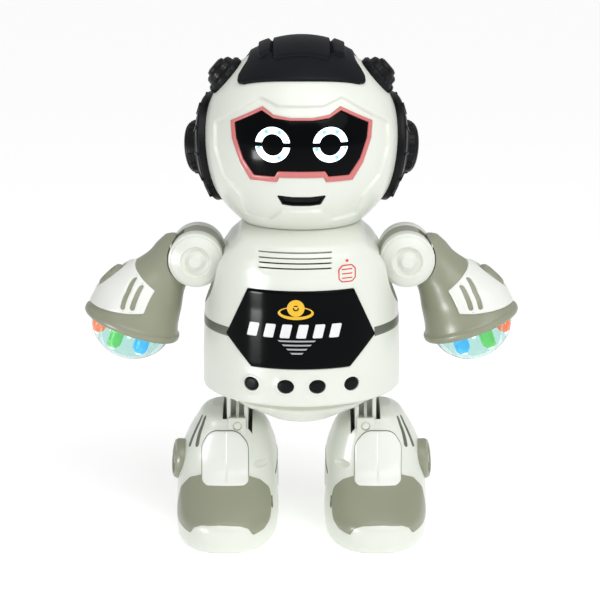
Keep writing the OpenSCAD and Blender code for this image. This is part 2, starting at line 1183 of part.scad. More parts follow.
torso_front_shell();
torso_rear_shell();
waist_band();
chest_panel();
hip_base();
speaker();
circuit_board();
battery_box();
batteries();
battery_door();
door_screw();
power_switch();
push_button(0);  // button_1
push_button(1);  // button_2
push_button(2);  // button_3
push_button(3);  // button_4
motor();
motor_pinion();
drive_gear();
gear_frame();
torso_screws();
neck_ring();
head_front_shell();
head_rear_shell();
visor_border();
visor();
eye_lights();
mouth_insert();
crown_cap();
ear_bases();
ear_hubs();
temple_knobs();
head_board();
head_spindle();
side(-1) shoulder_hub();  // shoulder_hub_l
side(1) shoulder_hub();  // shoulder_hub_r
side(-1) shoulder_front_cap();  // shoulder_front_l
side(1) shoulder_front_cap();  // shoulder_front_r
side(-1) shoulder_rear_cap();  // shoulder_rear_l
side(1) shoulder_rear_cap();  // shoulder_rear_r
side(-1) arm_shell();  // arm_shell_l
side(1) arm_shell();  // arm_shell_r
side(-1) arm_armour();  // arm_armour_l
side(1) arm_armour();  // arm_armour_r
side(-1) arm_lens();  // arm_lens_l
side(1) arm_lens();  // arm_lens_r
side(-1) arm_lights();  // arm_lights_l
side(1) arm_lights();  // arm_lights_r
side(-1) leg_strut();  // strut_l
side(1) leg_strut();  // strut_r
side(-1) boot_shell();  // boot_shell_l
side(1) boot_shell();  // boot_shell_r
side(-1) toe_cap();  // toe_cap_l
side(1) toe_cap();  // toe_cap_r
side(-1) shin_panel();  // shin_panel_l
side(1) shin_panel();  // shin_panel_r
side(-1) boot_badge();  // boot_badge_l
side(1) boot_badge();  // boot_badge_r
side(-1) sole();  // sole_l
side(1) sole();  // sole_r
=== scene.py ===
"""Visual model of the dancing toy robot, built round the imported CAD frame.

Sizes are in millimetres and become metres in the meshes. +Z is up and the face looks along -Y.
"""
import json
import math

import bmesh
import bpy
import numpy as np
from mathutils import Matrix, Vector
from mathutils.geometry import delaunay_2d_cdt


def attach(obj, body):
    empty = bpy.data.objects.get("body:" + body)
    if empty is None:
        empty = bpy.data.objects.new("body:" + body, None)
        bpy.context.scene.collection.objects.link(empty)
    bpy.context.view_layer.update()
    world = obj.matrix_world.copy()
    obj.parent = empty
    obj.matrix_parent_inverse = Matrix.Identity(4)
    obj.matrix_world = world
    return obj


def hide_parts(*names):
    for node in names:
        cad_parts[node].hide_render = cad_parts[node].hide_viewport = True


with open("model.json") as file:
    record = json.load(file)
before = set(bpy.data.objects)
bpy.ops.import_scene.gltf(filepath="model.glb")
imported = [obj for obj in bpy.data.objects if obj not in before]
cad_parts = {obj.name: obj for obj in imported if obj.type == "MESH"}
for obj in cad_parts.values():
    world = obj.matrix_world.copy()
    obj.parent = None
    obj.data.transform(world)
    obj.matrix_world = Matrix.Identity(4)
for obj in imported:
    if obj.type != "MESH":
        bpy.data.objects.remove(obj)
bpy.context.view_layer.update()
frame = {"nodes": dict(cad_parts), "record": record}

MM = 0.001

# driving sizes, as in the CAD source
HEAD_Z = 179.5
HEAD_R = 44.0
NECK_Z = 143.8
BASE_Z = 69.0
BODY_R = 45.0
PUCK = (47.0, 127.5)
PUCK_R = 12.3
MOUTH = (76.9, 95.8)
TILT = 19.7
BOOT_X = 34.0
LEG_X = 29.0
ANKLE_Z = 51.0
HIP_Z = 77.0
BUTTON_ANGLES = (-29.0, -8.8, 8.8, 29.0)
BUTTON_Z = 78.3
CUP_R = 21.5
SPEAKER_Z = (130.2, 132.4, 134.6, 136.9)

# sizes of the visual model alone: height of a button to its width, and depth of a lens dome
BUTTON_FLAT = 0.84
DOME = 16.4

# millimetres of surface coordinate to a radian, on the bell and on the boot
BELL_ARC = 20
BOOT_ARC = 23

# least distance of a grid point from an outline
EDGE_GAP = 0.22

# the head ball's equator in surface coordinates, and (inset, height) from the foot of its shell up
HEAD_RIM = HEAD_R * math.pi / 2 - 0.1
HEAD_EDGE = [(0, -2), (0, -0.2), (0.06, -0.06), (0.2, 0)]


# ---------------------------------------------------------------- materials

def node(tree, kind, place=(0, 0), **inputs):
    made = tree.nodes.new(kind)
    made.location = place
    for key, value in inputs.items():
        made.inputs[key.replace("_", " ")].default_value = value
    return made


def plastic(name, colour, dark=0.93, rough=(0.28, 0.38), grain=260.0, bump=0.02, **sockets):
    """Moulded plastic: a slight cloud in the colour, uneven gloss and a fine grain."""
    material = bpy.data.materials.new(name)
    material.use_nodes = True
    tree = material.node_tree
    shader = tree.nodes["Principled BSDF"]
    where = node(tree, "ShaderNodeTexCoord", (-900, 0))
    cloud = node(tree, "ShaderNodeTexNoise", (-700, 200), Scale=38.0, Detail=3.0)
    mix = node(tree, "ShaderNodeMix", (-300, 200))
    mix.data_type = "RGBA"
    mix.inputs["A"].default_value = (*[c * dark for c in colour], 1)
    mix.inputs["B"].default_value = (*colour, 1)
    gloss = node(tree, "ShaderNodeTexNoise", (-700, -50), Scale=90.0, Detail=4.0)
    spread = node(tree, "ShaderNodeMapRange", (-300, -50))
    spread.inputs["To Min"].default_value = rough[0]
    spread.inputs["To Max"].default_value = rough[1]
    fine = node(tree, "ShaderNodeTexNoise", (-700, -300), Scale=grain * 10, Detail=2.0)
    relief = node(tree, "ShaderNodeBump", (-300, -300), Strength=bump, Distance=0.0002)
    link = tree.links.new
    for texture in (cloud, gloss, fine):
        link(where.outputs["Object"], texture.inputs["Vector"])
    link(cloud.outputs["Fac"], mix.inputs["Factor"])
    link(mix.outputs["Result"], shader.inputs["Base Color"])
    link(gloss.outputs["Fac"], spread.inputs["Value"])
    link(spread.outputs["Result"], shader.inputs["Roughness"])
    link(fine.outputs["Fac"], relief.inputs["Height"])
    link(relief.outputs["Normal"], shader.inputs["Normal"])
    for key, value in sockets.items():
        shader.inputs[key.replace("_", " ")].default_value = value
    return material


IVORY = plastic("ivory", (0.80, 0.83, 0.755), rough=(0.27, 0.34), Coat_Weight=0.1, Coat_Roughness=0.2)
WHITE = plastic("white", (0.88, 0.895, 0.85), rough=(0.26, 0.32), Coat_Weight=0.1, Coat_Roughness=0.2)
OLIVE = plastic("olive", (0.30, 0.315, 0.225), rough=(0.3, 0.38), Coat_Weight=0.05, Coat_Roughness=0.2)
STRIPE = plastic("stripe", (0.125, 0.14, 0.105), rough=(0.3, 0.4))
GLOSS = plastic("gloss_black", (0.001, 0.0014, 0.0018), rough=(0.1, 0.16), bump=0.0, Specular_IOR_Level=0.07)
BUTTON = plastic("button_black", (0.004, 0.0045, 0.005), rough=(0.25, 0.35), Specular_IOR_Level=0.12)
CHARCOAL = plastic("charcoal", (0.004, 0.0044, 0.0055), rough=(0.3, 0.42), bump=0.12, Specular_IOR_Level=0.18)
CAP = plastic("cap_charcoal", (0.006, 0.0066, 0.009), rough=(0.42, 0.55), bump=0.06, Specular_IOR_Level=0.12)
CORAL = plastic("coral", (0.66, 0.185, 0.18), rough=(0.3, 0.4))
STEEL = plastic("steel", (0.62, 0.63, 0.65), rough=(0.2, 0.35), Metallic=1.0)
BOARD = plastic("board", (0.02, 0.12, 0.05), rough=(0.3, 0.5))
YELLOW = plastic("print_yellow", (0.88, 0.52, 0.02), rough=(0.3, 0.4))
PRINT = plastic("print_white", (0.84, 0.85, 0.86), rough=(0.3, 0.4))
GREY = plastic("print_grey", (0.42, 0.43, 0.45), rough=(0.3, 0.4))
RED = plastic("print_red", (0.72, 0.035, 0.03), rough=(0.3, 0.4))


def lamp(name, colour, glow, strength, rough=(0.2, 0.3), **sockets):
    """A lit piece: plastic that also gives light of its own."""
    return plastic(name, colour, rough=rough, bump=0.0, Emission_Color=(*glow, 1),
                   Emission_Strength=strength, **sockets)


EYE_GLOW = lamp("eye_glow", (0.5, 0.55, 0.6), (0.86, 0.95, 1.0), 1.6)
EYE_BLUE = lamp("eye_blue", (0.1, 0.3, 0.5), (0.30, 0.66, 0.95), 0.8)
LED_BLUE = lamp("led_blue", (0.05, 0.25, 0.5), (0.06, 0.42, 0.85), 1.0)
LED_GREEN = lamp("led_green", (0.1, 0.4, 0.1), (0.16, 0.52, 0.1), 0.9)
LED_RED = lamp("led_red", (0.6, 0.1, 0.04), (0.95, 0.16, 0.05), 1.0)
LED_AMBER = lamp("led_amber", (0.6, 0.35, 0.06), (0.95, 0.5, 0.06), 1.0)
LENS = lamp("lens", (0.68, 0.86, 0.82), (0.35, 0.7, 0.95), 0.02, rough=(0.05, 0.09),
            Transmission_Weight=1.0, IOR=1.12)


# ---------------------------------------------------------------- mesh code

def build(name, verts, faces, material, body, slot=None, stands_for=(), crease=34.0, cutters=(), keep=None):
    """One piece from vertices in millimetres, less its cutters and only inside keep. Edges sharper
    than crease stay sharp."""
    mesh = raw_mesh(name, (verts, faces))
    mesh.materials.append(material)
    piece = bpy.data.objects.new(name, mesh)
    bpy.context.collection.objects.link(piece)
    for cutter in cutters:
        cut_away(piece, cutter)
    if keep is not None:
        cut_away(piece, keep, "INTERSECT")
    soften(piece.data, crease)
    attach(piece, body)
    if stands_for:
        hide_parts(*stands_for)
    return piece


def build_pair(name, shape, material, body, slot, stands_for=None, cutters=(), keep=None, crease=34.0):
    """The piece drawn at x > 0 and its mirror image. Piece, body and node names end in the side."""
    for side, sign in SIDES:
        nodes = [stands_for + "_" + side] if stands_for else ()
        build(name + "_" + side, *on_side(shape, sign), material, body + "_" + side, slot, nodes, crease,
              [on_side(c, sign) for c in cutters], keep and on_side(keep, sign))


def raw_mesh(name, shape):
    mesh = bpy.data.meshes.new(name)
    mesh.from_pydata((np.asarray(shape[0], float) * MM).tolist(), [], [list(f) for f in shape[1]])
    work = bmesh.new()
    work.from_mesh(mesh)
    bmesh.ops.remove_doubles(work, verts=work.verts, dist=1.5e-6)
    bmesh.ops.dissolve_degenerate(work, edges=work.edges, dist=1e-6)
    bmesh.ops.recalc_face_normals(work, faces=work.faces)
    work.to_mesh(mesh)
    work.free()
    return mesh


def soften(mesh, crease):
    work = bmesh.new()
    work.from_mesh(mesh)
    for edge in work.edges:
        edge.smooth = edge.is_manifold and edge.calc_face_angle(0.0) < math.radians(crease)
    for face in work.faces:
        face.smooth = True
    work.to_mesh(mesh)
    work.free()


def cut_away(piece, cutter, operation="DIFFERENCE"):
    """Cuts a closed (verts, faces) solid out of the piece, or keeps what both share."""
    mesh = raw_mesh("cutter", cutter)
    tool = bpy.data.objects.new("cutter", mesh)
    bpy.context.collection.objects.link(tool)
    change = piece.modifiers.new("cut", "BOOLEAN")
    change.operation = operation
    change.solver = "EXACT"
    change.object = tool
    graph = bpy.context.evaluated_depsgraph_get()
    result = bpy.data.meshes.new_from_object(piece.evaluated_get(graph))
    piece.modifiers.clear()
    old = piece.data
    piece.data = result
    bpy.data.meshes.remove(old)
    bpy.data.objects.remove(tool)
    bpy.data.meshes.remove(mesh)


def rounded(points, radius, steps=6):
    """Closed outline with its corners turned into arcs. radius is one number or one per corner."""
    points = [np.array(p, float) for p in points]
    radii = radius if hasattr(radius, "__len__") else [radius] * len(points)
    out = []
    for i, p in enumerate(points):
        a, b = points[i - 1] - p, points[(i + 1) % len(points)] - p
        la, lb = np.linalg.norm(a), np.linalg.norm(b)
        a, b = a / la, b / lb
        half = math.acos(max(-1.0, min(1.0, float(a @ b)))) / 2
        if radii[i] <= 0 or half > math.radians(88):
            out.append(p)
            continue
        reach = min(radii[i] / math.tan(half), 0.48 * la, 0.48 * lb)
        r = reach * math.tan(half)
        centre = p + (a + b) / np.linalg.norm(a + b) * (r / math.sin(half))
        start, end = p + a * reach - centre, p + b * reach - centre
        turn = math.acos(max(-1.0, min(1.0, float(start @ end) / (r * r))))
        for k in range(steps + 1):
            t = k / steps
            out.append(centre + (start * math.sin((1 - t) * turn) + end * math.sin(t * turn)) / math.sin(turn))
    return np.array(out)


def dense(points, step, closed=True):
    """The outline with no edge longer than step."""
    points = np.asarray(points, float)
    out = []
    count = len(points) if closed else len(points) - 1
    for i in range(count):
        a, b = points[i], points[(i + 1) % len(points)]
        n = max(1, math.ceil(np.linalg.norm(b - a) / step - 1e-6))
        out += [a + (b - a) * k / n for k in range(n)]
    if not closed:
        out.append(points[-1])
    return np.array(out)


def mirrored(points):
    """Right half of an outline, lowest point first, closed with its mirror image."""
    return list(points) + [(-x, y) for x, y in reversed(points)]


def area(loop):
    x, y = loop[:, 0], loop[:, 1]
    return 0.5 * float(np.sum(x * np.roll(y, -1) - np.roll(x, -1) * y))


def inset(loop, d):
    """The counter-clockwise loop moved inwards by d."""
    if d == 0:
        return loop.copy()
    before, after = loop - np.roll(loop, 1, 0), np.roll(loop, -1, 0) - loop
    before /= np.linalg.norm(before, axis=1)[:, None] + 1e-12
    after /= np.linalg.norm(after, axis=1)[:, None] + 1e-12
    na = np.stack([-before[:, 1], before[:, 0]], 1)
    nb = np.stack([-after[:, 1], after[:, 0]], 1)
    middle = na + nb
    middle /= np.linalg.norm(middle, axis=1)[:, None] + 1e-12
    stretch = 1 / np.clip(np.sum(middle * nb, axis=1), 0.5, 1)
    return loop + middle * (stretch * d)[:, None]


def inside(points, loop):
    x, y = points[:, 0], points[:, 1]
    result = np.zeros(len(points), bool)
    j = len(loop) - 1
    for i in range(len(loop)):
        xi, yi, xj, yj = loop[i][0], loop[i][1], loop[j][0], loop[j][1]
        if yi != yj:
            crosses = (yi > y) != (yj > y)
            result ^= crosses & (x < (xj - xi) * (y - yi) / (yj - yi) + xi)
        j = i
    return result


def edge_distance(points, loop):
    """Distance of each point from a closed outline."""
    best = np.full(len(points), 1e9)
    for i in range(len(loop)):
        a, b = loop[i - 1], loop[i]
        d = b - a
        t = np.clip(((points - a) @ d) / max(float(d @ d), 1e-12), 0, 1)
        best = np.minimum(best, np.linalg.norm(points - a - t[:, None] * d, axis=1))
    return best


def surface_points(surface, uv, height):
    """Points of the surface at uv, lifted by height along its outward normal."""
    e = 0.02
    u, v = uv[:, 0], uv[:, 1]
    p = surface(u, v)
    du = surface(u + e, v) - surface(u - e, v)
    dv = surface(u, v + e) - surface(u, v - e)
    normal = np.cross(du, dv)
    normal /= np.linalg.norm(normal, axis=1)[:, None] + 1e-15
    return p + normal * np.broadcast_to(height, u.shape)[:, None]


def counter_clockwise(loop):
    loop = np.asarray(loop, float)
    return loop if area(loop) > 0 else loop[::-1]


def within(points, loops):
    """True for points inside the first loop and outside the others."""
    keep = inside(points, loops[0])
    for hole in loops[1:]:
        keep &= ~inside(points, hole)
    return keep


def grid_points(loops, step, lines):
    """A triangular grid between the loops, with the points of lines in place of those near them."""
    low, high = loops[0].min(0), loops[0].max(0)
    rows = []
    for i, y in enumerate(np.arange(low[1], high[1], step * 0.866)):
        xs = np.arange(low[0] + (i % 2) * step / 2, high[0], step)
        rows.append(np.stack([xs, np.full(len(xs), y)], 1))
    grid = np.concatenate(rows)
    if len(lines):
        extra = np.concatenate(lines)
        near = np.array([np.min(np.sum((extra - g) ** 2, 1)) for g in grid]) < (0.55 * step) ** 2
        grid = np.concatenate([grid[~near], extra])
    grid = grid[within(grid, loops)]
    for loop in loops:
        if len(grid):
            grid = grid[edge_distance(grid, loop) > EDGE_GAP]
    return grid


def triangles(points, loops):
    """Triangles between the loops, over points that start with those of the loops."""
    edges, start = [], 0
    for loop in loops:
        n = len(loop)
        edges += [(start + i, start + (i + 1) % n) for i in range(n)]
        start += n
    made = delaunay_2d_cdt([Vector(p) for p in points], edges, [], 0, 1e-5)
    index = [o[0] if o else -1 for o in made[3]]
    corners = np.array([f for f in made[2] if len(f) == 3])
    centres = np.array([[p[0], p[1]] for p in made[0]])[corners].mean(1)
    corners = [[index[i] for i in f] for f in corners[within(centres, loops)]]
    return [f for f in corners if min(f) >= 0]


def walls(loops, rings):
    """Quads that join rings of points, given by where each ring starts."""
    faces, start = [], 0
    for loop in loops:
        n = len(loop)
        for a, b in zip(rings[:-1], rings[1:]):
            for i in range(n):
                j = (i + 1) % n
                faces.append((a + start + i, a + start + j, b + start + j, b + start + i))
        start += n
    return faces


def plate(surface, loops, levels, step, relief=None, lines=()):
    """A closed plate laid on surface(u, v), whose normal u x v points outwards.

    loops: the outline, then holes. levels: (inset, height) pairs from the plate's foot to its
    top face. relief(uv) is added to the height, and lines are extra rows of points that it needs.
    """
    loops = [counter_clockwise(l) for l in loops]
    signs = [1] + [-1] * (len(loops) - 1)
    top = [inset(l, s * levels[-1][0]) for l, s in zip(loops, signs)]
    flat = np.concatenate(top)
    grid = grid_points(top, step, lines)
    points = np.concatenate([flat, grid])
    corners = triangles(points, top)

    def lifted(uv, height, foot=False):
        if relief is not None and not foot:
            height = height + relief(uv)
        return surface_points(surface, uv, height)
    verts = [lifted(points, levels[-1][1])]
    rings, used = [], len(points)
    for k, (d, h) in enumerate(levels[:-1]):
        ring = np.concatenate([inset(l, s * d) for l, s in zip(loops, signs)])
        verts.append(lifted(ring, h, k == 0))
        rings.append(used)
        used += len(ring)
    if len(grid):
        verts.append(lifted(grid, levels[0][1], True))
    foot = used - len(flat)
    faces = [tuple(f) for f in corners] + walls(loops, rings + [0])
    faces += [tuple(rings[0] + i if i < len(flat) else foot + i for i in reversed(f)) for f in corners]
    return np.concatenate(verts), faces


def moved(shape, place):
    """Applies a function of an (n, 3) array, or a 4x4 matrix, to a (verts, faces) shape."""
    verts, faces = shape
    verts = np.asarray(verts, float)
    if isinstance(place, Matrix):
        m = np.array(place)
        return verts @ m[:3, :3].T + m[:3, 3], faces
    return place(verts), faces


def joined(*shapes):
    verts, faces, used = [], [], 0
    for v, f in shapes:
        verts.append(np.asarray(v, float))
        faces += [tuple(i + used for i in face) for face in f]
        used += len(v)
    return np.concatenate(verts), faces


def lathe(profile, steps=96, wave=None):
    """Turns (radius, height) points about Z. Ends on the axis close by themselves."""
    profile = np.asarray(profile, float)
    angles = np.arange(steps) * 2 * math.pi / steps
    verts = []
    for r, h in profile:
        rr = r * (1 + (wave(angles, r, h) if wave else 0 * angles))
        verts.append(np.stack([rr * np.cos(angles), rr * np.sin(angles), np.full(steps, h)], 1))
    faces = []
    closed = np.allclose(profile[0], profile[-1])
    for k in range(len(profile) - 1):
        for i in range(steps):
            j = (i + 1) % steps
            a, b = k * steps, (k + 1) * steps
            faces.append((a + i, a + j, b + j, b + i))
    if not closed:
        faces.append(tuple(range(steps - 1, -1, -1)))
        last = (len(profile) - 1) * steps
        faces.append(tuple(last + i for i in range(steps)))
    return np.concatenate(verts), faces


def turned(points, radius, steps=5):
    """A lathe profile from corner points, with its inner corners rounded."""
    pts = [np.array(p, float) for p in points]
    arcs = rounded(pts, [0] + [radius] * (len(pts) - 2) + [0], steps)
    return [(max(p[0], 0.0), p[1]) for p in arcs]


def full_turn(count):
    return np.linspace(0, 2 * math.pi, count, False)


def ellipse(x, z, a, b, count=56):
    return np.array([(x + a * math.cos(t), z + b * math.sin(t)) for t in full_turn(count)])


def circle(x, z, r, count=32):
    return ellipse(x, z, r, r, count)


def box_line(x0, x1, z0, z1):
    return [(x0, z0), (x1, z0), (x1, z1), (x0, z1)]


def trace(points, radius, step, steps=6):
    """Closed outline with round corners and no edge longer than step."""
    return dense(rounded(points, radius, steps), step)


def shift(x, y, z):
    return Matrix.Translation((x, y, z))


def spin(degrees, axis):
    return Matrix.Rotation(math.radians(degrees), 4, axis)


def slab(x0, x1, y0, y1, z0, z1, bevel=0.4):
    """A box between the given bounds, with bevelled edges."""
    work = bmesh.new()
    bmesh.ops.create_cube(work, size=1.0)
    for v in work.verts:
        v.co = Vector((x0 + (v.co.x + 0.5) * (x1 - x0), y0 + (v.co.y + 0.5) * (y1 - y0),
                       z0 + (v.co.z + 0.5) * (z1 - z0)))
    if bevel > 0:
        bmesh.ops.bevel(work, geom=list(work.edges), offset=bevel, segments=3, profile=0.5,
                        affect="EDGES")
    work.verts.ensure_lookup_table()
    verts = np.array([v.co[:] for v in work.verts])
    faces = [tuple(v.index for v in f.verts) for f in work.faces]
    work.free()
    return verts, faces


def mirror_x(shape):
    verts, faces = shape
    return verts * np.array([-1.0, 1, 1]), [tuple(reversed(f)) for f in faces]


def on_side(shape, sign):
    return shape if sign > 0 else mirror_x(shape)


SIDES = (("l", -1), ("r", 1))


# ---------------------------------------------------------------- stage

def make_camera():
    data = bpy.data.cameras.new("camera")
    data.sensor_width = 36.0
    data.lens = 122.8
    data.shift_x = -0.0025
    camera = bpy.data.objects.new("camera", data)
    bpy.context.collection.objects.link(camera)
    camera.location = (0.0, -0.900, 0.324)
    camera.rotation_euler = (math.radians(90 - 13.6), 0, 0)
    bpy.context.scene.camera = camera


def area_light(name, place, target, size, power):
    data = bpy.data.lights.new(name, "AREA")
    data.shape = "RECTANGLE"
    data.size, data.size_y = size
    data.energy = power
    light = bpy.data.objects.new(name, data)
    light.location = place
    aim = Vector(target) - Vector(place)
    light.rotation_euler = aim.to_track_quat("-Z", "Y").to_euler()
    bpy.context.collection.objects.link(light)
    return light


def sun_light(name, place, angle, power):
    """A wide soft sun that shines from place towards the middle."""
    data = bpy.data.lights.new(name, "SUN")
    data.angle = math.radians(angle)
    data.energy = power
    light = bpy.data.objects.new(name, data)
    light.location = place
    light.rotation_euler = (-Vector(place)).to_track_quat("-Z", "Y").to_euler()
    bpy.context.collection.objects.link(light)


def make_stage():
    world = bpy.data.worlds.new("studio")
    world.use_nodes = True
    world.node_tree.nodes["Background"].inputs["Color"].default_value = (1, 1, 1, 1)
    world.node_tree.nodes["Background"].inputs["Strength"].default_value = 0.5
    bpy.context.scene.world = world
    floor_paint = plastic("floor_paint", (0.94, 0.94, 0.94), dark=0.995, rough=(0.5, 0.6), bump=0.0,
                          Specular_IOR_Level=0.1, Emission_Color=(1, 1, 1, 1), Emission_Strength=0.40)
    size = 8.0
    mesh = bpy.data.meshes.new("floor")
    rows = np.linspace(-size, size, 9)
    verts = [(x, y, 0.0) for y in rows for x in rows]
    faces = [(9 * j + i, 9 * j + i + 1, 9 * j + i + 10, 9 * j + i + 9) for j in range(8) for i in range(8)]
    mesh.from_pydata(verts, [], faces)
    mesh.materials.append(floor_paint)
    floor = bpy.data.objects.new("floor", mesh)
    bpy.context.collection.objects.link(floor)
    sun_light("key", (0.55, -0.6, 0.6), 40, 0.6)
    area_light("top", (0.06, -0.34, 0.62), (0, 0, 0.17), (0.5, 0.5), 1.6)
    glint = area_light("glint", (-0.50, -0.40, 0.065), (0, -0.04, 0.11), (0.14, 0.1), 2.4)
    glint.visible_diffuse = False
    bpy.context.scene.view_settings.view_transform = "Standard"


# ---------------------------------------------------------------- curves and surfaces

def curve(x, xs, ys):
    """Smooth curve through the points (xs, ys)."""
    xs, ys = np.asarray(xs, float), np.asarray(ys, float)
    gap = np.diff(xs)
    rise = np.diff(ys) / gap
    slope = np.empty(len(xs))
    slope[0], slope[-1] = rise[0], rise[-1]
    slope[1:-1] = (rise[:-1] * gap[1:] + rise[1:] * gap[:-1]) / (gap[1:] + gap[:-1])
    x = np.clip(x, xs[0], xs[-1])
    i = np.clip(np.searchsorted(xs, x) - 1, 0, len(xs) - 2)
    t = (x - xs[i]) / gap[i]
    return (ys[i] * (2 * t ** 3 - 3 * t ** 2 + 1) + slope[i] * gap[i] * (t ** 3 - 2 * t ** 2 + t)
            + ys[i + 1] * (3 * t ** 2 - 2 * t ** 3) + slope[i + 1] * gap[i] * (t ** 3 - t ** 2))


def signed_distance(points, loop):
    """Distance from the outline, positive inside."""
    return edge_distance(points, loop) * np.where(inside(points, loop), 1, -1)


def step_up(x, width):
    t = np.clip(x / width + 0.5, 0, 1)
    return t * t * (3 - 2 * t)


def bump(distance, radius):
    """Smooth hump of height 1 at distance 0, gone at radius."""
    return 0.5 + 0.5 * np.cos(math.pi * np.clip(distance / radius, 0, 1))


def ball_front(u, v):
    """Head ball seen from the front: u runs to +X and v to +Z, both along the surface."""
    rho = np.hypot(u, v) + 1e-9
    t = rho / HEAD_R
    s = HEAD_R * np.sin(t) / rho
    return np.stack([s * u, -HEAD_R * np.cos(t), HEAD_Z + s * v], -1)


def ball_top(u, v):
    """Head ball seen from above."""
    rho = np.hypot(u, v) + 1e-9
    t = rho / HEAD_R
    s = HEAD_R * np.sin(t) / rho
    return np.stack([s * u, s * v, HEAD_Z + HEAD_R * np.cos(t)], -1)


def on_ball(points, low=HEAD_Z):
    """Front view (x, z) or plan (x, y) points turned into surface coordinates."""
    p = np.asarray(points, float) - np.array([0, low])
    rho = np.hypot(p[:, 0], p[:, 1]) + 1e-9
    return p * (HEAD_R * np.arcsin(np.clip(rho / HEAD_R, 0, 1)) / rho)[:, None]


def ball_line(points, radius, step, low=HEAD_Z):
    return on_ball(trace(points, radius, step), low)


def smooth_min(a, b, power=40.0):
    return (a ** -power + b ** -power) ** (-1 / power)


TORSO_SIDE = [(BODY_R - 2.2, BASE_Z), (BODY_R, BASE_Z), (BODY_R, 84), (BODY_R - 0.7, 98),
              (BODY_R - 1.4, 112), (BODY_R - 1.8, 128), (BODY_R - 3, 135), (BODY_R - 6.5, 139),
              (33, 140.8), (28, 142.2), (26, NECK_Z), (19, NECK_Z)]
TORSO_SIDE_RADII = [0, 2, 30, 60, 60, 20, 8, 5, 5, 3, 2, 0]
TORSO_FRONT = [(46, 55), (45.4, 90), (45.2, 106), (43.6, 116), (41, 122), (37.6, 127.5), (34.6, 131.6),
               (32.4, 134.8), (29, 137.3), (27.2, 139.4), (27.2, 147)]


def torso_surface(depth, turn=0.0):
    """Torso skin: u is the angle from -Y times the radius, v is the length along the side."""
    line = rounded_line(TORSO_SIDE, TORSO_SIDE_RADII)
    line = line + line_normal(line) * depth
    along = np.concatenate([[0], np.cumsum(np.linalg.norm(np.diff(line, axis=0), axis=1))])
    front = rounded_line(TORSO_FRONT, 9)

    def at(u, v):
        angle = u / BODY_R
        z = np.interp(v, along, line[:, 1])
        r = np.interp(v, along, line[:, 0])
        wide = np.interp(z, front[:, 1], front[:, 0]) - depth
        r = smooth_min(r, wide / np.maximum(np.abs(np.sin(angle)), 1e-3))
        angle = angle + turn
        return np.stack([r * np.sin(angle), -r * np.cos(angle), z], -1)
    at.along = along
    at.line = line
    return at


def line_normal(line):
    """Left-hand unit normals of an open line."""
    d = np.gradient(line, axis=0)
    d /= np.linalg.norm(d, axis=1)[:, None] + 1e-12
    return np.stack([-d[:, 1], d[:, 0]], 1)


def rounded_line(points, radius):
    radii = list(radius) if hasattr(radius, "__len__") else [0] + [radius] * (len(points) - 2) + [0]
    return rounded(points, radii, 8)


TORSO = torso_surface(0.0)


def on_torso(points):
    """Front view (x, z) points of the torso in surface coordinates."""
    p = np.asarray(points, float)
    upto = int(np.argmax(TORSO.line[:, 1]))
    v = np.interp(p[:, 1], TORSO.line[:upto, 1], TORSO.along[:upto])
    r = np.interp(p[:, 1], TORSO.line[:upto, 1], TORSO.line[:upto, 0])
    return np.stack([np.arcsin(np.clip(p[:, 0] / r, -1, 1)) * BODY_R, v], 1)


def torso_line(points, radius, step, steps=6):
    return on_torso(trace(points, radius, step, steps))


BELL_ROWS = np.array([
    # height, centre offset outwards, radius
    (0, 0, 22), (5, 0.1, 20.4), (14, -0.1, 18.8), (24, -3.0, 14.5), (29, -5.6, 12.6),
    (34, -8.8, 12.2), (39.5, -11, 12.2), (44.5, -12.9, 11.4)])


def bell_surface(u, v, depth=0.0):
    """Arm bell at x > 0: u is the angle from the front times BELL_ARC, v the height over the mouth."""
    angle = u / BELL_ARC
    c = curve(v, BELL_ROWS[:, 0], BELL_ROWS[:, 1])
    r = curve(v, BELL_ROWS[:, 0], BELL_ROWS[:, 2]) - depth
    return bell_place(np.stack([c + r * np.sin(angle), -r * np.cos(angle), v + 0 * u], -1))


def bell_place(p):
    t = math.radians(TILT)
    x, y, z = p[..., 0], p[..., 1], p[..., 2]
    return np.stack([MOUTH[0] + x * math.cos(t) - z * math.sin(t), y,
                     MOUTH[1] + x * math.sin(t) + z * math.cos(t)], -1)


BOOT_ROWS = np.array([
    # height, inner side, outer side, toe, heel
    (0.6, -22.0, 22.0, -41.6, 41.4), (1.6, -22.7, 22.7, -42.4, 42.0), (4, -23.1, 23.1, -42.9, 42.4),
    (8, -23.4, 23.4, -43, 42.4),
    (12.6, -23.2, 23.3, -42, 40.2), (15.6, -23, 23.2, -38.5, 38.4), (20.6, -23.1, 23.1, -31, 35.6),
    (25.4, -23.0, 22.8, -24, 32.6), (29.4, -22.9, 22.5, -19.6, 31), (34, -22.7, 21.6, -17.2, 29),
    (42, -20.8, 18.8, -15.6, 26.2), (50, -16.6, 14.4, -14, 22.6), (55.4, -9.3, 10.4, -11, 18.5),
    (58, -4, 6.6, -6, 10)])
SQUARE = 0.8


def boot_section(z):
    xi, xo, yf, yb = (curve(z, BOOT_ROWS[:, 0], BOOT_ROWS[:, k]) for k in (1, 2, 3, 4))
    return (xi + xo) / 2, (xo - xi) / 2, (yf + yb) / 2, (yb - yf) / 2


def boot_wall(u, v):
    """Boot skin at x > 0: u is the angle from the outer side times BOOT_ARC, v the height."""
    cx, hx, cy, hy = boot_section(v)
    c, s = np.cos(u / BOOT_ARC), np.sin(u / BOOT_ARC)
    return np.stack([BOOT_X + cx + hx * np.sign(c) * np.abs(c) ** SQUARE,
                     cy + hy * np.sign(s) * np.abs(s) ** SQUARE, v + 0 * u], -1)


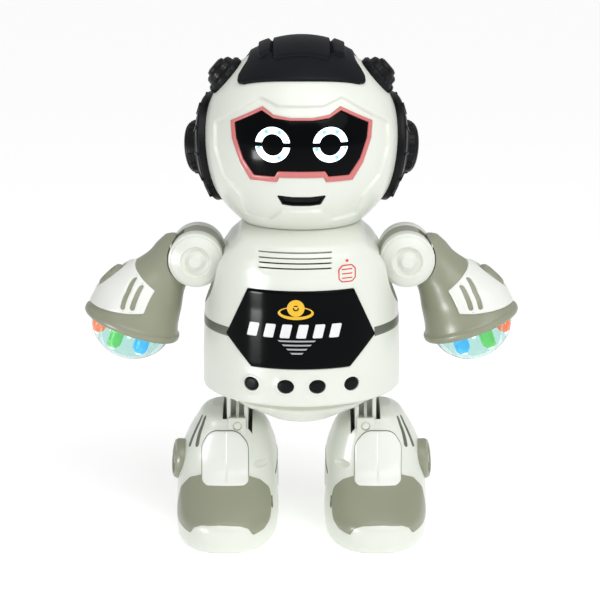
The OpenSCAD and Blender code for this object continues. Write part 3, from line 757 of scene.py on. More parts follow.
def boot_front(u, v):
    """Boot skin behind the front view point (u, v)."""
    cx, hx, cy, hy = boot_section(v)
    y = cy - hy * np.maximum(1 - np.abs((u - cx) / hx) ** (2 / SQUARE), 0) ** (SQUARE / 2)
    return np.stack([BOOT_X + u, y, v + 0 * u], -1)


# ---------------------------------------------------------------- head

BORDER = mirrored([(9.9, 169.4), (10.8, 167.2), (22.6, 167.4), (27.2, 175), (30.8, 185.4), (31.4, 192.8),
                   (17.2, 200), (12.4, 196.7), (5, 195.5)])
VISOR = mirrored([(10.4, 172.2), (11.9, 169.7), (21, 169.9), (25.8, 176.9), (28.9, 185.6), (29.6, 192.2),
                  (17.4, 198.3), (12.3, 195.3), (5, 194.4)])
MOUTH_LINE = mirrored([(4, 155.6), (8.6, 156.2), (11.1, 160.8), (4, 160.1)])
FACE = mirrored([(8.6, 153.6), (13.6, 148.6), (24.4, 150.2), (26.6, 159.6), (34.4, 168.2), (38, 180),
                 (38, 190.4), (36.6, 191.6), (17.4, 203.4), (9.6, 200.1)])
EYE = (12.6, 183.9)


def head_half(name, stands_for, shape):
    """Half of the head ball, cut level at the neck."""
    neck = slab(-60, 60, -60, 60, 100, NECK_Z + 0.25, 0)
    build(name, *shape, IVORY, "head", "ivory", [stands_for], cutters=[neck])


def head_front():
    face = ball_line(FACE, 2.4, 0.9)

    def relief(p):
        return -1.4 * step_up(signed_distance(p, face), 1.0)
    holes = [ball_line(BORDER, 0.5, 1.0), ball_line(MOUTH_LINE, 0.5, 0.8)]
    lines = [inset(face, d) for d in (-0.7, -0.35, 0.0, 0.35, 0.7)]
    shape = plate(ball_front, [circle(0, 0, HEAD_RIM, 240)] + holes, HEAD_EDGE, 1.25, relief, lines)
    head_half("head_shell_front", "head_front_shell", shape)


def head_rear():
    slots = [ball_line(box_line(x - 0.8, x + 0.8, 168, 184), 0.7, 1) for x in range(-10, 11, 4)]
    shape = plate(ball_front, [circle(0, 0, HEAD_RIM, 200)] + slots, HEAD_EDGE, 2.2)
    head_half("head_shell_rear", "head_rear_shell", moved(shape, lambda p: p * np.array([-1.0, -1.0, 1.0])))


def visor_parts():
    border, visor = (counter_clockwise(ball_line(p, 0.5, 1.0)) for p in (BORDER, VISOR))
    ring = plate(ball_front, [inset(border, 0.12), visor],
                 [(0, -2), (0, -1.25), (0.12, -0.95), (0.3, -0.85)], 0.9)
    build("visor_frame", *ring, CORAL, "head", "coral", ["visor_border"])
    glass = plate(ball_front, [inset(visor, 0.1)], [(0, -2), (0, -1.4), (0.15, -1.26), (0.4, -1.2)], 1.2)
    build("visor_glass", *glass, GLOSS, "head", "black_gloss", ["visor"])


def eye_arc(side, top):
    """Outline of the upper or lower arc of an eye's ring."""
    inner, outer, cut = 4.7, 7.7, 0.95
    a0, a1 = math.asin(cut / outer), math.asin(cut / inner)
    line = [(outer * math.cos(a), outer * math.sin(a)) for a in np.linspace(a0, math.pi - a0, 30)]
    line += [(inner * math.cos(a), inner * math.sin(a)) for a in np.linspace(math.pi - a1, a1, 22)]
    line = np.array(line) * np.array([1, top]) + np.array([side * EYE[0], EYE[1]])
    return on_ball(rounded(line, 0.35, 3))


def eye_dot(side, angle):
    x = side * EYE[0] + 6.2 * math.cos(math.radians(angle))
    z = EYE[1] + 6.2 * math.sin(math.radians(angle))
    return on_ball(circle(x, z, 0.9, 16))


def eye_light():
    """Two arcs of a ring. They glow, with small blue dots in them."""
    arcs = [plate(ball_front, [eye_arc(s, top)], [(0, -1.6), (0, -1.15), (0.12, -1.08), (0.4, -1.05)], 0.6)
            for s in (-1, 1) for top in (-1, 1)]
    build("eye_glow", *joined(*arcs), EYE_GLOW, "head", "light", ["eye_lights"])
    dots = [plate(ball_front, [eye_dot(s, a)], [(0, -1.3), (0, -1.04), (0.2, -1.0)], 0.5)
            for s in (-1, 1) for a in (62, 116, 196, 297)]
    build("eye_dots", *joined(*dots), EYE_BLUE, "head", "light")


def mouth():
    line = inset(counter_clockwise(ball_line(MOUTH_LINE, 0.5, 0.8)), 0.1)
    base = plate(ball_front, [line], [(0, -2.9), (0, -2.3), (0.3, -2.2)], 1.0)
    lip = plate(ball_front, [line, inset(line, 0.9)], [(0, -2.6), (0, -1.5), (0.2, -1.35)], 0.8)
    build("mouth_piece", *joined(base, lip), BUTTON, "head", "black_gloss", ["mouth_insert"])


def crown_outline():
    quarter = [(x, 0.0138 * x * x - 32.1) for x in np.linspace(0.8, 24.6, 12)]
    quarter += [(27.1, -21.0), (26.8, -17.8), (23.2, -12), (22.2, -6)]
    line = mirrored(quarter + [(22.2, 0)] + [(x, -y) for x, y in reversed(quarter)])
    radii = [0] * 11 + [1.2, 2.4, 2.2, 5, 8]
    radii = radii + [10] + radii[::-1]
    return ball_line(line, radii + radii[::-1], 1.2, 0)


def crown():
    panel = ball_line(box_line(-11.8, 11.8, -20.4, 20.4), 1.6, 1.0, 0)
    ribs = [ball_line([(x - 2.4, -16.5), (x + 2.4, -15), (x + 2.4, 15), (x - 2.4, 16.5)], 1.2, 1.0, 0)
            for x in (-15.5, 15.5)]

    def relief(p):
        lift = 1.0 * step_up(signed_distance(p, panel), 0.7)
        for rib in ribs:
            lift = lift + 1.5 * step_up(signed_distance(p, rib), 1.1)
        return lift - 0.35 * bump(edge_distance(p, inset(panel, -0.7)), 0.5)
    lines = [inset(l, d) for l in [panel] + ribs for d in (-0.7, -0.35, 0, 0.35, 0.8)]
    levels = [(0, 0.02), (0, 0.9), (0.25, 1.35), (0.8, 1.6)]
    shape = plate(ball_top, [crown_outline()], levels, 1.3, relief, lines)
    build("crown", *shape, CAP, "head", "charcoal", ["crown_cap"])


def ear_matrix(sign):
    """Local +Z becomes the ear's axis, which leans 6 degrees down and 14 to the back."""
    return shift(0, 0, HEAD_Z) @ (spin(sign * 14.0, "Z") @ spin(sign * 96.0, "Y"))


def ball_arc(radius, a0, a1, count=10):
    """Lathe points on a ball, from angle a0 to a1 off the axis."""
    return [(radius * math.sin(math.radians(a)), radius * math.cos(math.radians(a)))
            for a in np.linspace(a0, a1, count)]


def ear_plate():
    skin = ball_arc(44.06, 14, 32.3, 12)
    outer = ball_arc(45.6, 32.3, 31.9, 2) + ball_arc(47.0, 31.4, 30.6, 3) + ball_arc(47.6, 29.6, 24.2, 6)
    groove = ball_arc(46.7, 23.6, 22.9, 2)
    inner = ball_arc(47.7, 22.3, 17.4, 5) + ball_arc(47.0, 16.6, 16.2, 2) + ball_arc(45.6, 15.4, 14, 3)
    ribs = [moved(slab(-3.4, 3.4, -0.55, 0.55, 46.2, 48.1, 0.4), spin(30 * k, "Z") @ spin(26.6, "Y"))
            for k in range(12)]
    return joined(lathe(skin + outer + groove + inner + [skin[0]], 120), *ribs)


def ear_hub():
    face = 51.4
    line = turned([(0, 44.3), (11.9, 44.3), (12.2, 49.0), (12.0, 49.6), (11.4, 49.9), (11.3, 50.6),
                   (10.4, face), (8.6, face), (8.2, face - 0.9), (4.6, face - 0.9), (4.2, face - 0.2),
                   (0, face - 0.2)], 0.35, 3)

    def teeth(angle, r, h):
        return np.where(r > 11.7, -0.028 * (np.cos(angle * 12) > 0.45), 0)
    return lathe(line, 144, teeth)


def ears():
    for side, sign in SIDES:
        place = ear_matrix(sign)
        build("ear_plate_" + side, *moved(ear_plate(), place), CHARCOAL, "head", "charcoal", ["ear_bases"])
        build("ear_hub_" + side, *moved(ear_hub(), place), CHARCOAL, "head", "charcoal", ["ear_hubs"])


def temple_knobs():
    line = turned([(0, 42.4), (9.3, 42.4), (9.4, 45.2), (8.6, 46.2), (7.4, 46.3), (7.2, 47.2), (6.9, 48.6),
                   (5.9, 49.3), (4.8, 49.5), (4.5, 50.6), (3.2, 51.1), (0, 51.2)], 0.4, 3)

    def knurl(angle, r, h):
        return np.where((r > 6.6) & (h > 44.5) & (h < 49), -0.05 * (np.cos(angle * 10) > 0.35), 0)
    for side, sign in SIDES:
        shape = moved(lathe(line, 120, knurl), shift(0, -2, HEAD_Z) @ spin(sign * 49, "Y"))
        build("temple_knob_" + side, *shape, CHARCOAL, "head", "charcoal", ["temple_knobs"])


# ---------------------------------------------------------------- torso

PANEL = [(-23.3, 120.3), (22.6, 120.3), (32, 98.6), (21, 86.3), (-21.8, 86.3), (-32.8, 98.6)]


def half_shell(name, back, holes, stands_for, relief=None, lines=()):
    """Half of the torso's 2 mm wall, open where the shoulder cups sit."""
    edge = BODY_R * math.pi / 2 - 0.04
    outline = dense(box_line(-edge, edge, 0, TORSO.along[-1]), 1.6)
    shape = plate(torso_surface(0.0, math.pi if back else 0.0), [outline] + holes,
                  [(0, -2), (0, -0.12), (0.12, 0)], 1.5, relief, lines)
    build(name, *shape, IVORY, "torso", "ivory", [stands_for],
          cutters=[shoulder_round(sign, CUP_R, 34) for sign in (-1, 1)])


def shoulder_axis(sign):
    return shift(0, 0, PUCK[1]) @ spin(sign * 90, "Y")


def shoulder_round(sign, r, x):
    """Closed cylinder about the shoulder axle, from x outwards."""
    return moved(lathe([(0, x), (r, x), (r, x + 30), (0, x + 30)], 96), shoulder_axis(sign))


def shoulder_cups():
    """The sunken walls beside the shoulder pucks, trimmed to the torso's skin."""
    angles = full_turn(180)
    skin = torso_surface(0.35)
    rings = []
    for v in np.linspace(0, skin.along[-1] - 0.5, 90):
        p = skin(np.arcsin(np.sin(angles)) * BODY_R, np.full(len(angles), v))
        p[:, 1] *= np.where(np.cos(angles) >= 0, 1, -1)
        rings.append(p)
    r = CUP_R
    line = [(4.6, 32.6), (r + 1.6, 32.6), (r + 1.6, 60), (r + 0.05, 60), (r + 0.05, 35.8), (r - 0.3, 35),
            (r - 1.2, 34.4), (4.6, 34.4), (4.6, 32.6)]
    for side, sign in SIDES:
        build("shoulder_cup_" + side, *loft(rings), IVORY, "torso", "ivory",
              keep=moved(lathe(line, 120), shoulder_axis(sign)))


def torso_front():
    panel = counter_clockwise(torso_line(PANEL, 0.8, 1.0))
    middle = on_torso([(0, BUTTON_Z)])[0, 1]
    buttons = [ellipse(math.radians(a) * BODY_R, middle, 3.7, 3.7 * BUTTON_FLAT, 36) for a in BUTTON_ANGLES]
    slots = [torso_line(box_line(-18.8, 13.2, z - 0.3, z + 0.3), 0.28, 1, 3) for z in SPEAKER_Z]
    plaque = torso_line([(-16, 127.6), (16, 127.6), (19.6, 131), (19.6, 138.6), (-19.6, 138.6), (-19.6, 131)],
                        2.5, 1.0)
    centres = [b.mean(0) for b in buttons]

    def relief(p):
        lift = -0.22 * step_up(signed_distance(p, plaque), 1.4)
        for c in centres:
            d = np.linalg.norm((p - c) / np.array([1, BUTTON_FLAT]), axis=1)
            lift = lift + 0.4 * (1 - step_up(d - 4.7, 0.9))
        return lift
    lines = [ellipse(*c, r, r * BUTTON_FLAT, 40) for c in centres for r in (4.2, 4.6, 5.2)]
    lines += [inset(plaque, d) for d in (-0.7, 0, 0.7)]
    half_shell("torso_shell_front", False, [inset(panel, -0.25)] + buttons + slots, "torso_front_shell",
               relief, lines)


def torso_rear():
    door = torso_line(box_line(-23, 23, 76, 132), 2.2, 1.2)
    switch = torso_line(box_line(-6, 6, 71.7, 75.1), 0.8, 0.8)
    half_shell("torso_shell_rear", True, [door, switch], "torso_rear_shell")


def door():
    outline = torso_line(box_line(-22.7, 22.7, 76.3, 131.7), 2, 1.2)
    grips = [torso_line(box_line(x - 0.7, x + 0.7, 84, 98), 0.6, 0.9) for x in range(-12, 13, 4)]
    screw = circle(0, on_torso([(0, 127)])[0, 1], 1.75, 24)

    def relief(p):
        return -0.7 * sum(step_up(signed_distance(p, g), 0.6) for g in grips)
    shape = plate(torso_surface(0.0, math.pi), [outline, screw], [(0, -2), (0, -0.25), (0.08, -0.08), (0.3, 0)],
                  1.6, relief, [inset(g, d) for g in grips for d in (-0.3, 0, 0.3)])
    build("door_panel", *shape, IVORY, "door", "ivory", ["battery_door"])


def belt():
    """The stripe, broken by the chest panel in front and the battery door behind."""
    low, high = on_torso([(0, 97.3), (0, 101.5)])[:, 1]
    reach = BODY_R * math.pi / 2 - 0.02
    bands = []
    for turn, half_gap in ((0.0, 32), (math.pi, 23.4)):
        gap = on_torso([(half_gap, 98.4)])[0, 0]
        for start, end in ((-reach, -gap), (gap, reach)):
            outline = dense(box_line(start, end, low, high), 1.2)
            bands.append(plate(torso_surface(0.0, turn), [outline], [(0, -1), (0, -0.02), (0.25, 0.12)], 1.6))
    build("waist_stripe", *joined(*bands), STRIPE, "torso", "stripe", ["waist_band"])


def chest():
    panel = torso_line(PANEL, 0.7, 0.9)
    levels = [(0, -1.4), (0, 0.3), (0.1, 0.55), (0.3, 0.72), (0.9, 0.8)]
    build("chest_glass", *plate(TORSO, [panel], levels, 1.3), GLOSS, "torso", "black_gloss", ["chest_panel"])


def print_on(name, marks, material, lift=0.8):
    """Thin raised print on the torso. Each mark is a list of front view outlines."""
    levels = [(0, lift - 0.25), (0, lift + 0.05), (0.05, lift + 0.08)]
    plates = [plate(TORSO, [on_torso(dense(l, 0.8)) for l in mark], levels, 0.9) for mark in marks]
    build(name, *joined(*plates), material, "torso")


def chest_prints():
    x, z = -2.4, 113.2
    disc = [circle(x, z, 3.7, 40), circle(x, z, 1.3, 24)]
    print_on("mark_disc", [disc, [circle(x, z, 0.7, 18)]], YELLOW, 0.86)
    print_on("mark_hoop", [[ellipse(x, 111.0, 7.6, 2.9), ellipse(x, 111.4, 6.6, 2.0)]], YELLOW)
    starts = [-23.4 + 7.0 * k for k in range(6)]
    bars = [[(x, 100), (x + 4.2, 100), (x + 5.6, 106), (x + 1.4, 106)] for x in starts]
    print_on("mark_bars", [[rounded(bar, 0.5, 3)] for bar in bars], PRINT)
    lines = [[np.array([(-w, z), (0.8 - w, z - 0.7), (w - 0.8, z - 0.7), (w, z)]) + np.array([-2.0, 0])]
             for z, w in ((99.0, 8.2), (97.2, 6.4), (95.4, 4.6), (93.6, 2.9))]
    print_on("mark_lines", lines, GREY)
    ring = counter_clockwise(rounded([(15.9, 125.2), (17.4, 123.6), (22, 123.6), (23.5, 125.2), (23.5, 129.4),
                                      (21.8, 131.2), (17.6, 131.2), (15.9, 129.4)], 1.2, 4))
    rungs = [[rounded(box_line(17.4, 22, z, z + 0.5), 0.2, 2)] for z in (125.2, 127.1, 129)]
    print_on("mark_badge", [[ring, inset(ring, 0.5)], [circle(19.7, 132.9, 0.6, 16)]] + rungs, RED, 0.0)


def buttons():
    line = turned([(0, 39.8), (1.6, 39.8), (1.6, 41), (4.3, 41), (4.3, 42.2), (3.3, 42.2), (3.3, 45.1),
                   (2.9, 45.6), (1.9, 45.78), (0, 45.8)], 0.25, 3)
    for i, angle in enumerate(BUTTON_ANGLES, 1):
        place = spin(angle, "Z") @ shift(0, 0, BUTTON_Z) @ spin(90, "X")
        place = place @ Matrix.Diagonal((1, BUTTON_FLAT, 1, 1))
        build("button_top_%d" % i, *moved(lathe(line, 48), place), BUTTON, "button_%d" % i, "black_gloss",
              ["button_%d" % i])


def hip_bowl():
    line = turned([(0, 51.4), (8, 51.6), (14.5, 53.2), (21, 56.6), (28, 60), (31.2, 62.2), (31.6, 63.6),
                   (28, 65.2), (28, 69), (42.9, 69), (42.9, 71), (25, 71), (25, 63), (20, 59.4), (0, 53.4)],
                  2.2, 5)
    boxes = [slab(x - 8.4, x + 8.4, -13, 13, 50, 75, 0) for x in (-LEG_X, LEG_X)]
    screws = [moved(lathe([(0, 50), (1.7, 50), (1.7, 80), (0, 80)], 24), spin(a, "Z") @ shift(0, 38.5, 0))
              for a in (45, 135, 225, 315)]
    lugs = [slab(x - 6, x + 6, y - 1.5, y + 1.5, 70.5, 82.9, 0.5) for x in (-LEG_X, LEG_X) for y in (-15, 15)]
    build("hip_bowl", *lathe(line, 128), IVORY, "torso", "ivory", ["hip_base"], cutters=boxes + screws)
    build("hip_lugs", *joined(*lugs), IVORY, "torso", "ivory")


# ---------------------------------------------------------------- shoulders and arms

def loft(rings):
    """Closed skin over rings of equal length."""
    n, last = len(rings[0]), len(rings) - 1
    faces = []
    for a in range(0, last * n, n):
        faces += [(a + i, a + (i + 1) % n, a + n + (i + 1) % n, a + n + i) for i in range(n)]
    faces += [tuple(range(n - 1, -1, -1)), tuple(range(last * n, last * n + n))]
    return np.concatenate(rings), faces


def puck_place():
    return shift(PUCK[0], 0, PUCK[1]) @ spin(90, "X")


def shoulders():
    front = turned([(0, 6.6), (10.3, 6.6), (12.3, 6.8), (12.3, 12.9), (11.9, 13.7), (11.2, 14.0), (10.9, 14.6),
                    (7.1, 16.2), (6.6, 16.2), (6.2, 14.9), (4.7, 14.6), (3.8, 15.6), (2.6, 17.0), (0, 17.2)],
                   0.35, 4)
    rear = turned([(0, 6.6), (10.3, 6.6), (12.3, 6.8), (12.3, 12.9), (11.7, 13.8), (9.6, 16.0), (8.8, 16.3),
                   (3.0, 16.3), (2.6, 15.3), (0, 15.3)], 0.45, 4)
    pin = turned([(0, -6), (3, -6), (3, 6.8), (0, 6.8)], 0.3, 2)
    cap = moved(joined(lathe(front, 120), lathe(pin, 48)), puck_place())
    build_pair("shoulder_cap_front", cap, IVORY, "shoulder", "ivory", "shoulder_front")
    cap = moved(lathe(rear, 120), puck_place() @ spin(180, "X"))
    build_pair("shoulder_cap_rear", cap, IVORY, "shoulder", "ivory", "shoulder_rear")


def bell_rings(depth, low, high, count):
    angles = full_turn(120)
    return [bell_surface(angles * BELL_ARC, np.full(120, t), depth) for t in np.linspace(low, high, count)]


def bell_ring(t, radius, shift_out=0.0):
    angles = full_turn(120)
    x, y = shift_out + radius * np.sin(angles), -radius * np.cos(angles)
    return bell_place(np.stack([x, y, np.full(120, t)], -1))


def arm_bell():
    lip = [(0.9, 18.7), (0.1, 19.1), (-0.7, 19.9), (-1.0, 20.9), (-0.8, 21.8), (-0.1, 22.3), (0.9, 22.35),
           (1.8, 22.1), (2.2, 21.55)]
    rings = bell_rings(2.0, 42.4, 1.6, 40) + [bell_ring(t, r) for t, r in lip] + bell_rings(0.0, 2.6, 43.6, 52)
    rings += [bell_ring(44.5, 10.6, -13.0), bell_ring(45.0, 8.8, -13.0)]
    r = PUCK_R + 0.5
    puck = moved(lathe([(0, -40), (r, -40), (r, 40), (0, 40)], 120), puck_place())
    build_pair("arm_bell", loft(rings), OLIVE, "arm", "olive", "arm_shell", [puck])


def arm_tongue():
    """The arm's hinge: a ring on the shoulder pin, with a bar and a cross rib into the bell."""
    ring = lathe([(3.06, -3), (6.2, -3), (6.4, -2.8), (6.4, 2.8), (6.2, 3), (3.06, 3), (3.06, -3)], 72)
    bar = moved(slab(5.6, 19, -3.4, 3.4, -3, 3), spin(-16, "Z"))
    rib = moved(slab(15.2, 17.8, -2, 2, -11.5, 11.5), spin(-21, "Z"))
    build_pair("arm_tongue", moved(joined(ring, bar, rib), puck_place()), OLIVE, "arm", "olive")


def arm_knob():
    line = turned([(0, -2), (6.9, -2), (6.9, 1.4), (6.5, 2.2), (5.7, 3.0), (4.9, 3.2), (4.5, 2.6), (1.8, 2.4),
                   (1.4, 2.9), (0, 2.9)], 0.35, 3)

    def flutes(angle, r, h):
        return np.where((r > 4.9) & (h > 1.6), -0.03 * (np.cos(angle * 8) > 0.3), 0)
    knob = moved(lathe(line, 96, flutes), shift(14.7, 0, 17.0) @ spin(61, "Y"))
    build_pair("arm_knob", moved(knob, bell_place), OLIVE, "arm", "olive")


def bell_uv(points):
    """(degrees from the front, height) points in surface coordinates."""
    return np.array([(math.radians(a) * BELL_ARC, t) for a, t in points])


def capsule(line, width):
    """Outline of a round-ended stroke along a line of points."""
    line = dense(line, 0.5, closed=False)
    side = line_normal(line) * width / 2
    left, right = line + side, line - side
    ends = []
    for centre, start in ((line[-1], left[-1]), (line[0], right[0])):
        arm = start - centre
        for k in range(1, 6):
            a = -math.pi * k / 6
            ends.append(centre + np.array([arm[0] * math.cos(a) - arm[1] * math.sin(a),
                                           arm[0] * math.sin(a) + arm[1] * math.cos(a)]))
    return counter_clockwise(np.concatenate([left, ends[:5], right[::-1], ends[5:]]))


ARMOUR = [(83, 28.6), (56, 26.8), (33, 25.2), (13, 23.4), (-10.8, 21.2), (-10.8, 10.6), (8.5, 8.2), (30, 6.3),
          (50, 5.0), (75, 4.2), (112, 4.6), (124, 12), (116, 21), (100, 27)]


def arm_armour():
    outline = trace(bell_uv(ARMOUR), [1.5, 9, 9, 9, 0.8, 1.0, 6, 12, 12, 12, 3, 4, 4, 3], 1.0)
    slots = [capsule(bell_uv([(30, 22.4), (22, 17), (17.8, 10.2)]), 2.3),
             capsule(bell_uv([(11, 20.6), (7.8, 16), (5.6, 11.4)]), 2.3)]
    hole = dense(circle(math.radians(90) * BELL_ARC, 18.2, 7.2, 40), 1.0)
    shape = plate(bell_surface, [outline] + slots + [hole],
                  [(0, -0.5), (0, 0.5), (0.12, 0.75), (0.35, 0.9), (0.8, 0.95)], 1.1)
    build_pair("arm_plate", shape, WHITE, "arm", "white", "arm_armour")


def dome_height(r):
    """Height of the lens over the bell's mouth at radius r. It bulges out, so it is negative."""
    ball = (19.0 ** 2 + DOME ** 2) / (2 * DOME)
    return ball - DOME - math.sqrt(ball ** 2 - r * r)


def arm_lens():
    line = [(18.8 * k / 14, dome_height(18.8 * k / 14)) for k in range(15)]
    line += [(18.0, 0.2)] + [(r * 0.92, h + 1.4) for r, h in line[-2::-1]]
    line[-1] = (0, 1.4 - DOME)

    def flutes(angle, r, h):
        return np.where(r > 3, 0.006 * np.cos(angle * 24), 0)
    lens = moved(lathe(line, 144, flutes), bell_place)
    build_pair("arm_dome", lens, LENS, "arm", "lens", "arm_lens", crease=60)


def arm_lamps():
    board = moved(lathe(turned([(0, 3), (17.2, 3), (17.2, 4.6), (0, 4.6)], 0.3, 2), 96), bell_place)
    build_pair("arm_lamp_board", board, BOARD, "arm", "board", "arm_lights")
    for name, x, y, paint in (("blue", -7.0, -9.6, LED_BLUE), ("green", 4.6, -8.6, LED_GREEN),
                              ("red", 13.2, -4.6, LED_RED), ("amber", -1.0, 9.4, LED_AMBER)):
        h = dome_height(math.hypot(x, y))
        bulb = [(0, 3.2), (3.2, 3.2), (3.2, h + 5.4), (3.0, h + 4.2), (2.0, h + 3.0), (0, h + 2.6)]
        core = [(0, h + 3), (1.2, h + 3), (1.1, h + 2.2), (0, h + 2.0)]
        for piece, shape, material in (("led_", lathe(turned(bulb, 0.3, 3), 24), paint),
                                       ("led_core_", lathe(turned(core, 0.3, 2), 16), EYE_GLOW)):
            build_pair(piece + name, moved(moved(shape, shift(x, y, 0)), bell_place), material, "arm", "light")


# ---------------------------------------------------------------- legs and boots

def struts():
    x = LEG_X
    parts = [slab(x - 4.8, x - 3.0, -12, 12, 46, 82, 0.5), slab(x + 3.0, x + 4.8, -12, 12, 46, 82, 0.5),
             slab(x - 4, x + 4, -4, 4, 46, 82, 0.3), slab(x - 4.6, x + 4.6, -12, 12, 46, 53.9, 0.5),
             slab(x - 4.6, x + 4.6, -12, 12, 74.1, 82, 0.5)]
    web = [(x - 0.7, -11.4, 53), (x - 0.7, -3.5, 53), (x - 0.7, -3.5, 68)]
    verts = np.array(web + [(x + 0.7, y, z) for _, y, z in web])
    parts.append((verts, [(0, 1, 2), (5, 4, 3), (0, 3, 4, 1), (1, 4, 5, 2), (2, 5, 3, 0)]))
    build_pair("leg_strut", joined(*parts), IVORY, "strut", "ivory", "strut")
    pins = []
    for z, half in ((ANKLE_Z, 14.2), (HIP_Z, 16.3)):
        line = turned([(0, -half), (1.4, -half), (2, 0.6 - half), (2, half - 0.6), (1.4, half), (0, half)],
                      0.2, 2)
        pins.append(moved(lathe(line, 48), shift(x, 0, z) @ spin(90, "X")))
    build_pair("leg_pins", joined(*pins), IVORY, "strut", "ivory")


def boot_rings(depth, low, count):
    angles = full_turn(180)
    rings = []
    for t in np.linspace(0, 1, count):
        z = low + (57.9 - depth - low) * (1 - (1 - t) ** 1.6)
        p = boot_wall(angles * BOOT_ARC, np.full(180, z))
        cx, hx, cy, hy = boot_section(np.array([min(z + depth * 0.6, 58.0)]))
        centre = np.array([BOOT_X + cx[0], cy[0], z])
        shrink = np.array([max(hx[0] - depth, 1) / hx[0], max(hy[0] - depth, 1) / hy[0], 1])
        rings.append(centre + (p - centre) * (shrink if depth else 1))
    return rings


def boot_uv(x, y, z):
    """Skin coordinates of a boot point, with x and y from the boot's middle. The back is cut open."""
    cx, hx, cy, hy = (float(c[0]) for c in boot_section(np.array([z])))
    c, s = (x - cx) / hx, (y - cy) / hy
    angle = math.atan2(math.copysign(abs(s) ** (1 / SQUARE), s), math.copysign(abs(c) ** (1 / SQUARE), c))
    return (BOOT_ARC * (angle if angle < math.pi / 2 else angle - 2 * math.pi), z)


TOE = [(20.8, -14.6, 22.6), (22.2, -17.0, 14.5), (22.0, -20.5, 10.2), (20.4, -26.0, 9.0),
       (15.7, -36.2, 8.1), (13.8, -37.6, 11.2), (11.0, -39.5, 12.6), (2.3, -41, 13.4), (-6.6, -41.1, 12.9),
       (-10.4, -40.0, 11.6), (-12.2, -39.0, 8.2), (-17.0, -34.0, 9.2), (-20.2, -27.0, 12.2),
       (-20.9, -20.6, 18.3), (-19.2, -17.0, 23.2), (-15, -17.6, 27.0), (-9.8, -18.4, 29), (0, -18.5, 29.2),
       (11.2, -17.9, 29.3), (16.6, -15.9, 27.4)]


def skin_line(points):
    return np.array([boot_uv(*p) for p in points])


def boot_scoop():
    """Cutter for the small hollow beside the shin."""
    at = boot_front(np.array([-15.6]), np.array([33.4]))[0] - np.array([0.3, 0.35, 0])
    ball = lathe(ball_arc(1, 180, 0, 15), 32)
    return moved(ball, shift(*at) @ spin(-42, "Z") @ Matrix.Diagonal((5.2, 1.9, 1.9, 1)))


def boot_shells():
    bore = moved(lathe([(0, -20), (2.06, -20), (2.06, 20), (0, 20)], 32),
                 shift(LEG_X, 0, ANKLE_Z) @ spin(90, "X"))
    inner = loft(boot_rings(2.0, -1.0, 30))
    mouth = slab(LEG_X - 6.7, LEG_X + 6.7, -12.6, 12.6, 44, 70, 0)
    build_pair("boot_body", loft(boot_rings(0, 0.6, 60)), IVORY, "boot", "ivory", "boot_shell",
               [inner, mouth, boot_scoop(), bore])
    bearings = [slab(LEG_X - 4, LEG_X + 4, y - 0.9, y + 0.9, 4.4, 54.8, 0.4) for y in (-13.2, 13.2)]
    build_pair("boot_bearings", joined(*bearings), IVORY, "boot", "ivory", cutters=[bore])
    well = slab(LEG_X - 7.6, LEG_X + 7.6, -13.9, 13.9, 43, 60, 0)
    hollow = slab(LEG_X - 6.75, LEG_X + 6.75, -12.7, 12.7, 44.4, 62, 0)
    build_pair("boot_well", well, IVORY, "boot", "ivory", cutters=[hollow, bore], keep=inner)


def boot_plates():
    """Toe cap and shin panel, each on a dark plate whose rim shows round its edge as painted shade in the gap.
    """
    toe_line = trace(skin_line(TOE), [3, 5, 5, 4, 1.0, 2.5, 4, 6, 6, 3, 1.0, 3, 6, 6, 5, 5, 6, 8, 6, 5], 0.9)
    shin_line = trace([(-9.9, 26.6), (-8, 25.6), (8.6, 25.6), (10.8, 26.8), (11, 42), (7, 48.6), (-5, 48.8),
                       (-9.6, 43)], [2, 3, 3, 2, 8, 6, 6, 8], 0.9)

    def seam(p):
        return -0.25 * bump(np.abs(p[:, 0] - 0.2), 0.45)
    seam_points = [np.array([(0.2 + d, z) for z in np.arange(27, 48, 0.9)])
                   for d in (-0.45, -0.2, 0, 0.2, 0.45)]
    # painted shade: dark plates a little wider than the toe cap and shin panel; their rims stand in for the
    # shadow in the gap around each panel
    painted_gap_shade = joined(plate(boot_wall, [inset(toe_line, -0.4)], [(0, -0.5), (0, 0.12), (0.05, 0.14)], 1.6),
                  plate(boot_front, [inset(shin_line, -0.4)], [(0, -1), (0, 0.12), (0.05, 0.14)], 1.6))
    build_pair("boot_painted_gap_shade", painted_gap_shade, STRIPE, "boot", "stripe")
    toe = plate(boot_wall, [toe_line], [(0, -0.6), (0, 0.2), (0.15, 0.36), (0.5, 0.42)], 1.2)
    build_pair("boot_toe", toe, OLIVE, "boot", "olive", "toe_cap")
    shin = plate(boot_front, [shin_line], [(0, -1.2), (0, 0.5), (0.2, 0.72), (0.6, 0.8)], 1.2, seam,
                 seam_points)
    build_pair("boot_shin", shin, WHITE, "boot", "white", "shin_panel")


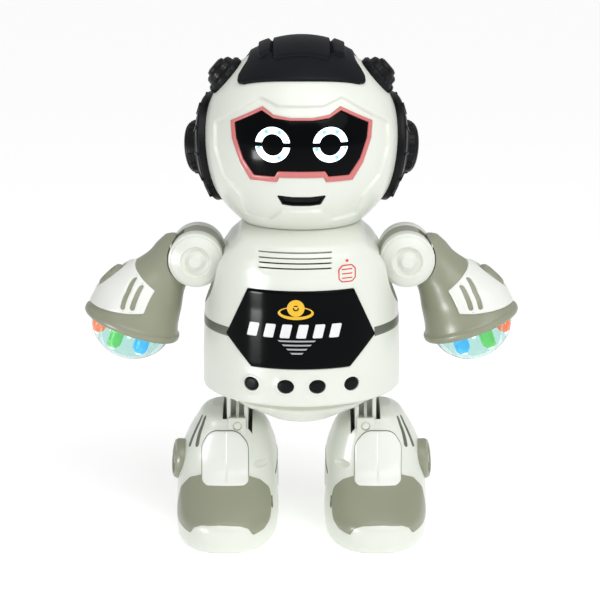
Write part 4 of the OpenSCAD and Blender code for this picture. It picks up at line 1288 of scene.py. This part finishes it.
def boot_slots():
    strokes = [([(15.4, -8.5, 52.5), (17.9, -9.5, 46), (19.4, -9.6, 40.4)], 2.3),
               ([(12.4, -11.2, 52.8), (14.3, -12.4, 47.5), (14.9, -13.2, 41.6)], 2.6),
               ([(-20, 9, 34), (-21, 2, 30), (-22, -5.5, 26.6)], 1.5),
               ([(-21, 10, 27), (-22, 5, 23), (-22, 1, 19)], 1.3),
               ([(-20.8, -19.4, 18.8), (-21.2, -21.6, 15.6)], 1.5)]
    slots = [plate(boot_wall, [capsule(skin_line(line), width)], [(0, -0.5), (0, 0.1), (0.1, 0.14)], 0.9)
             for line, width in strokes]
    build_pair("boot_slots", joined(*slots), STRIPE, "boot", "stripe")


def boot_knob():
    line = turned([(0, -3), (9.2, -3), (9.2, 1.2), (8.5, 2.4), (7.3, 2.8), (6.6, 2.1), (6.2, 1.8), (2.8, 1.8),
                   (2.3, 2.5), (0, 2.5)], 0.4, 3)
    knob = moved(lathe(line, 96), shift(BOOT_X + 22.0, 1, 31) @ spin(-9, "Z") @ spin(84, "Y"))
    build_pair("boot_knob", knob, OLIVE, "boot", "olive", "boot_badge")


# ---------------------------------------------------------------- CAD pieces that are shown as they are

PAINTS = {"ivory": IVORY, "white": WHITE, "olive": OLIVE, "stripe": STRIPE, "black_gloss": BUTTON,
          "charcoal": CHARCOAL, "coral": CORAL, "steel": STEEL, "board": BOARD, "lens": LENS, "light": EYE_GLOW}


def dress_frame():
    for part in frame["record"]["subparts"]:
        piece = frame["nodes"][part["node"]]
        piece.data.materials.clear()
        piece.data.materials.append(PAINTS[part["material_slot"]])
        bevel = piece.modifiers.new("edges", "BEVEL")
        bevel.width = 0.0002
        bevel.segments = 2
        bevel.limit_method = "ANGLE"
        bevel.angle_limit = math.radians(40)
        bevel.harden_normals = False


make_camera()
make_stage()
head_front()
head_rear()
visor_parts()
eye_light()
mouth()
crown()
ears()
temple_knobs()
torso_front()
torso_rear()
shoulder_cups()
door()
belt()
chest()
chest_prints()
buttons()
hip_bowl()
shoulders()
arm_bell()
arm_tongue()
arm_knob()
arm_armour()
arm_lens()
arm_lamps()
struts()
boot_shells()
boot_plates()
boot_slots()
boot_knob()
dress_frame()
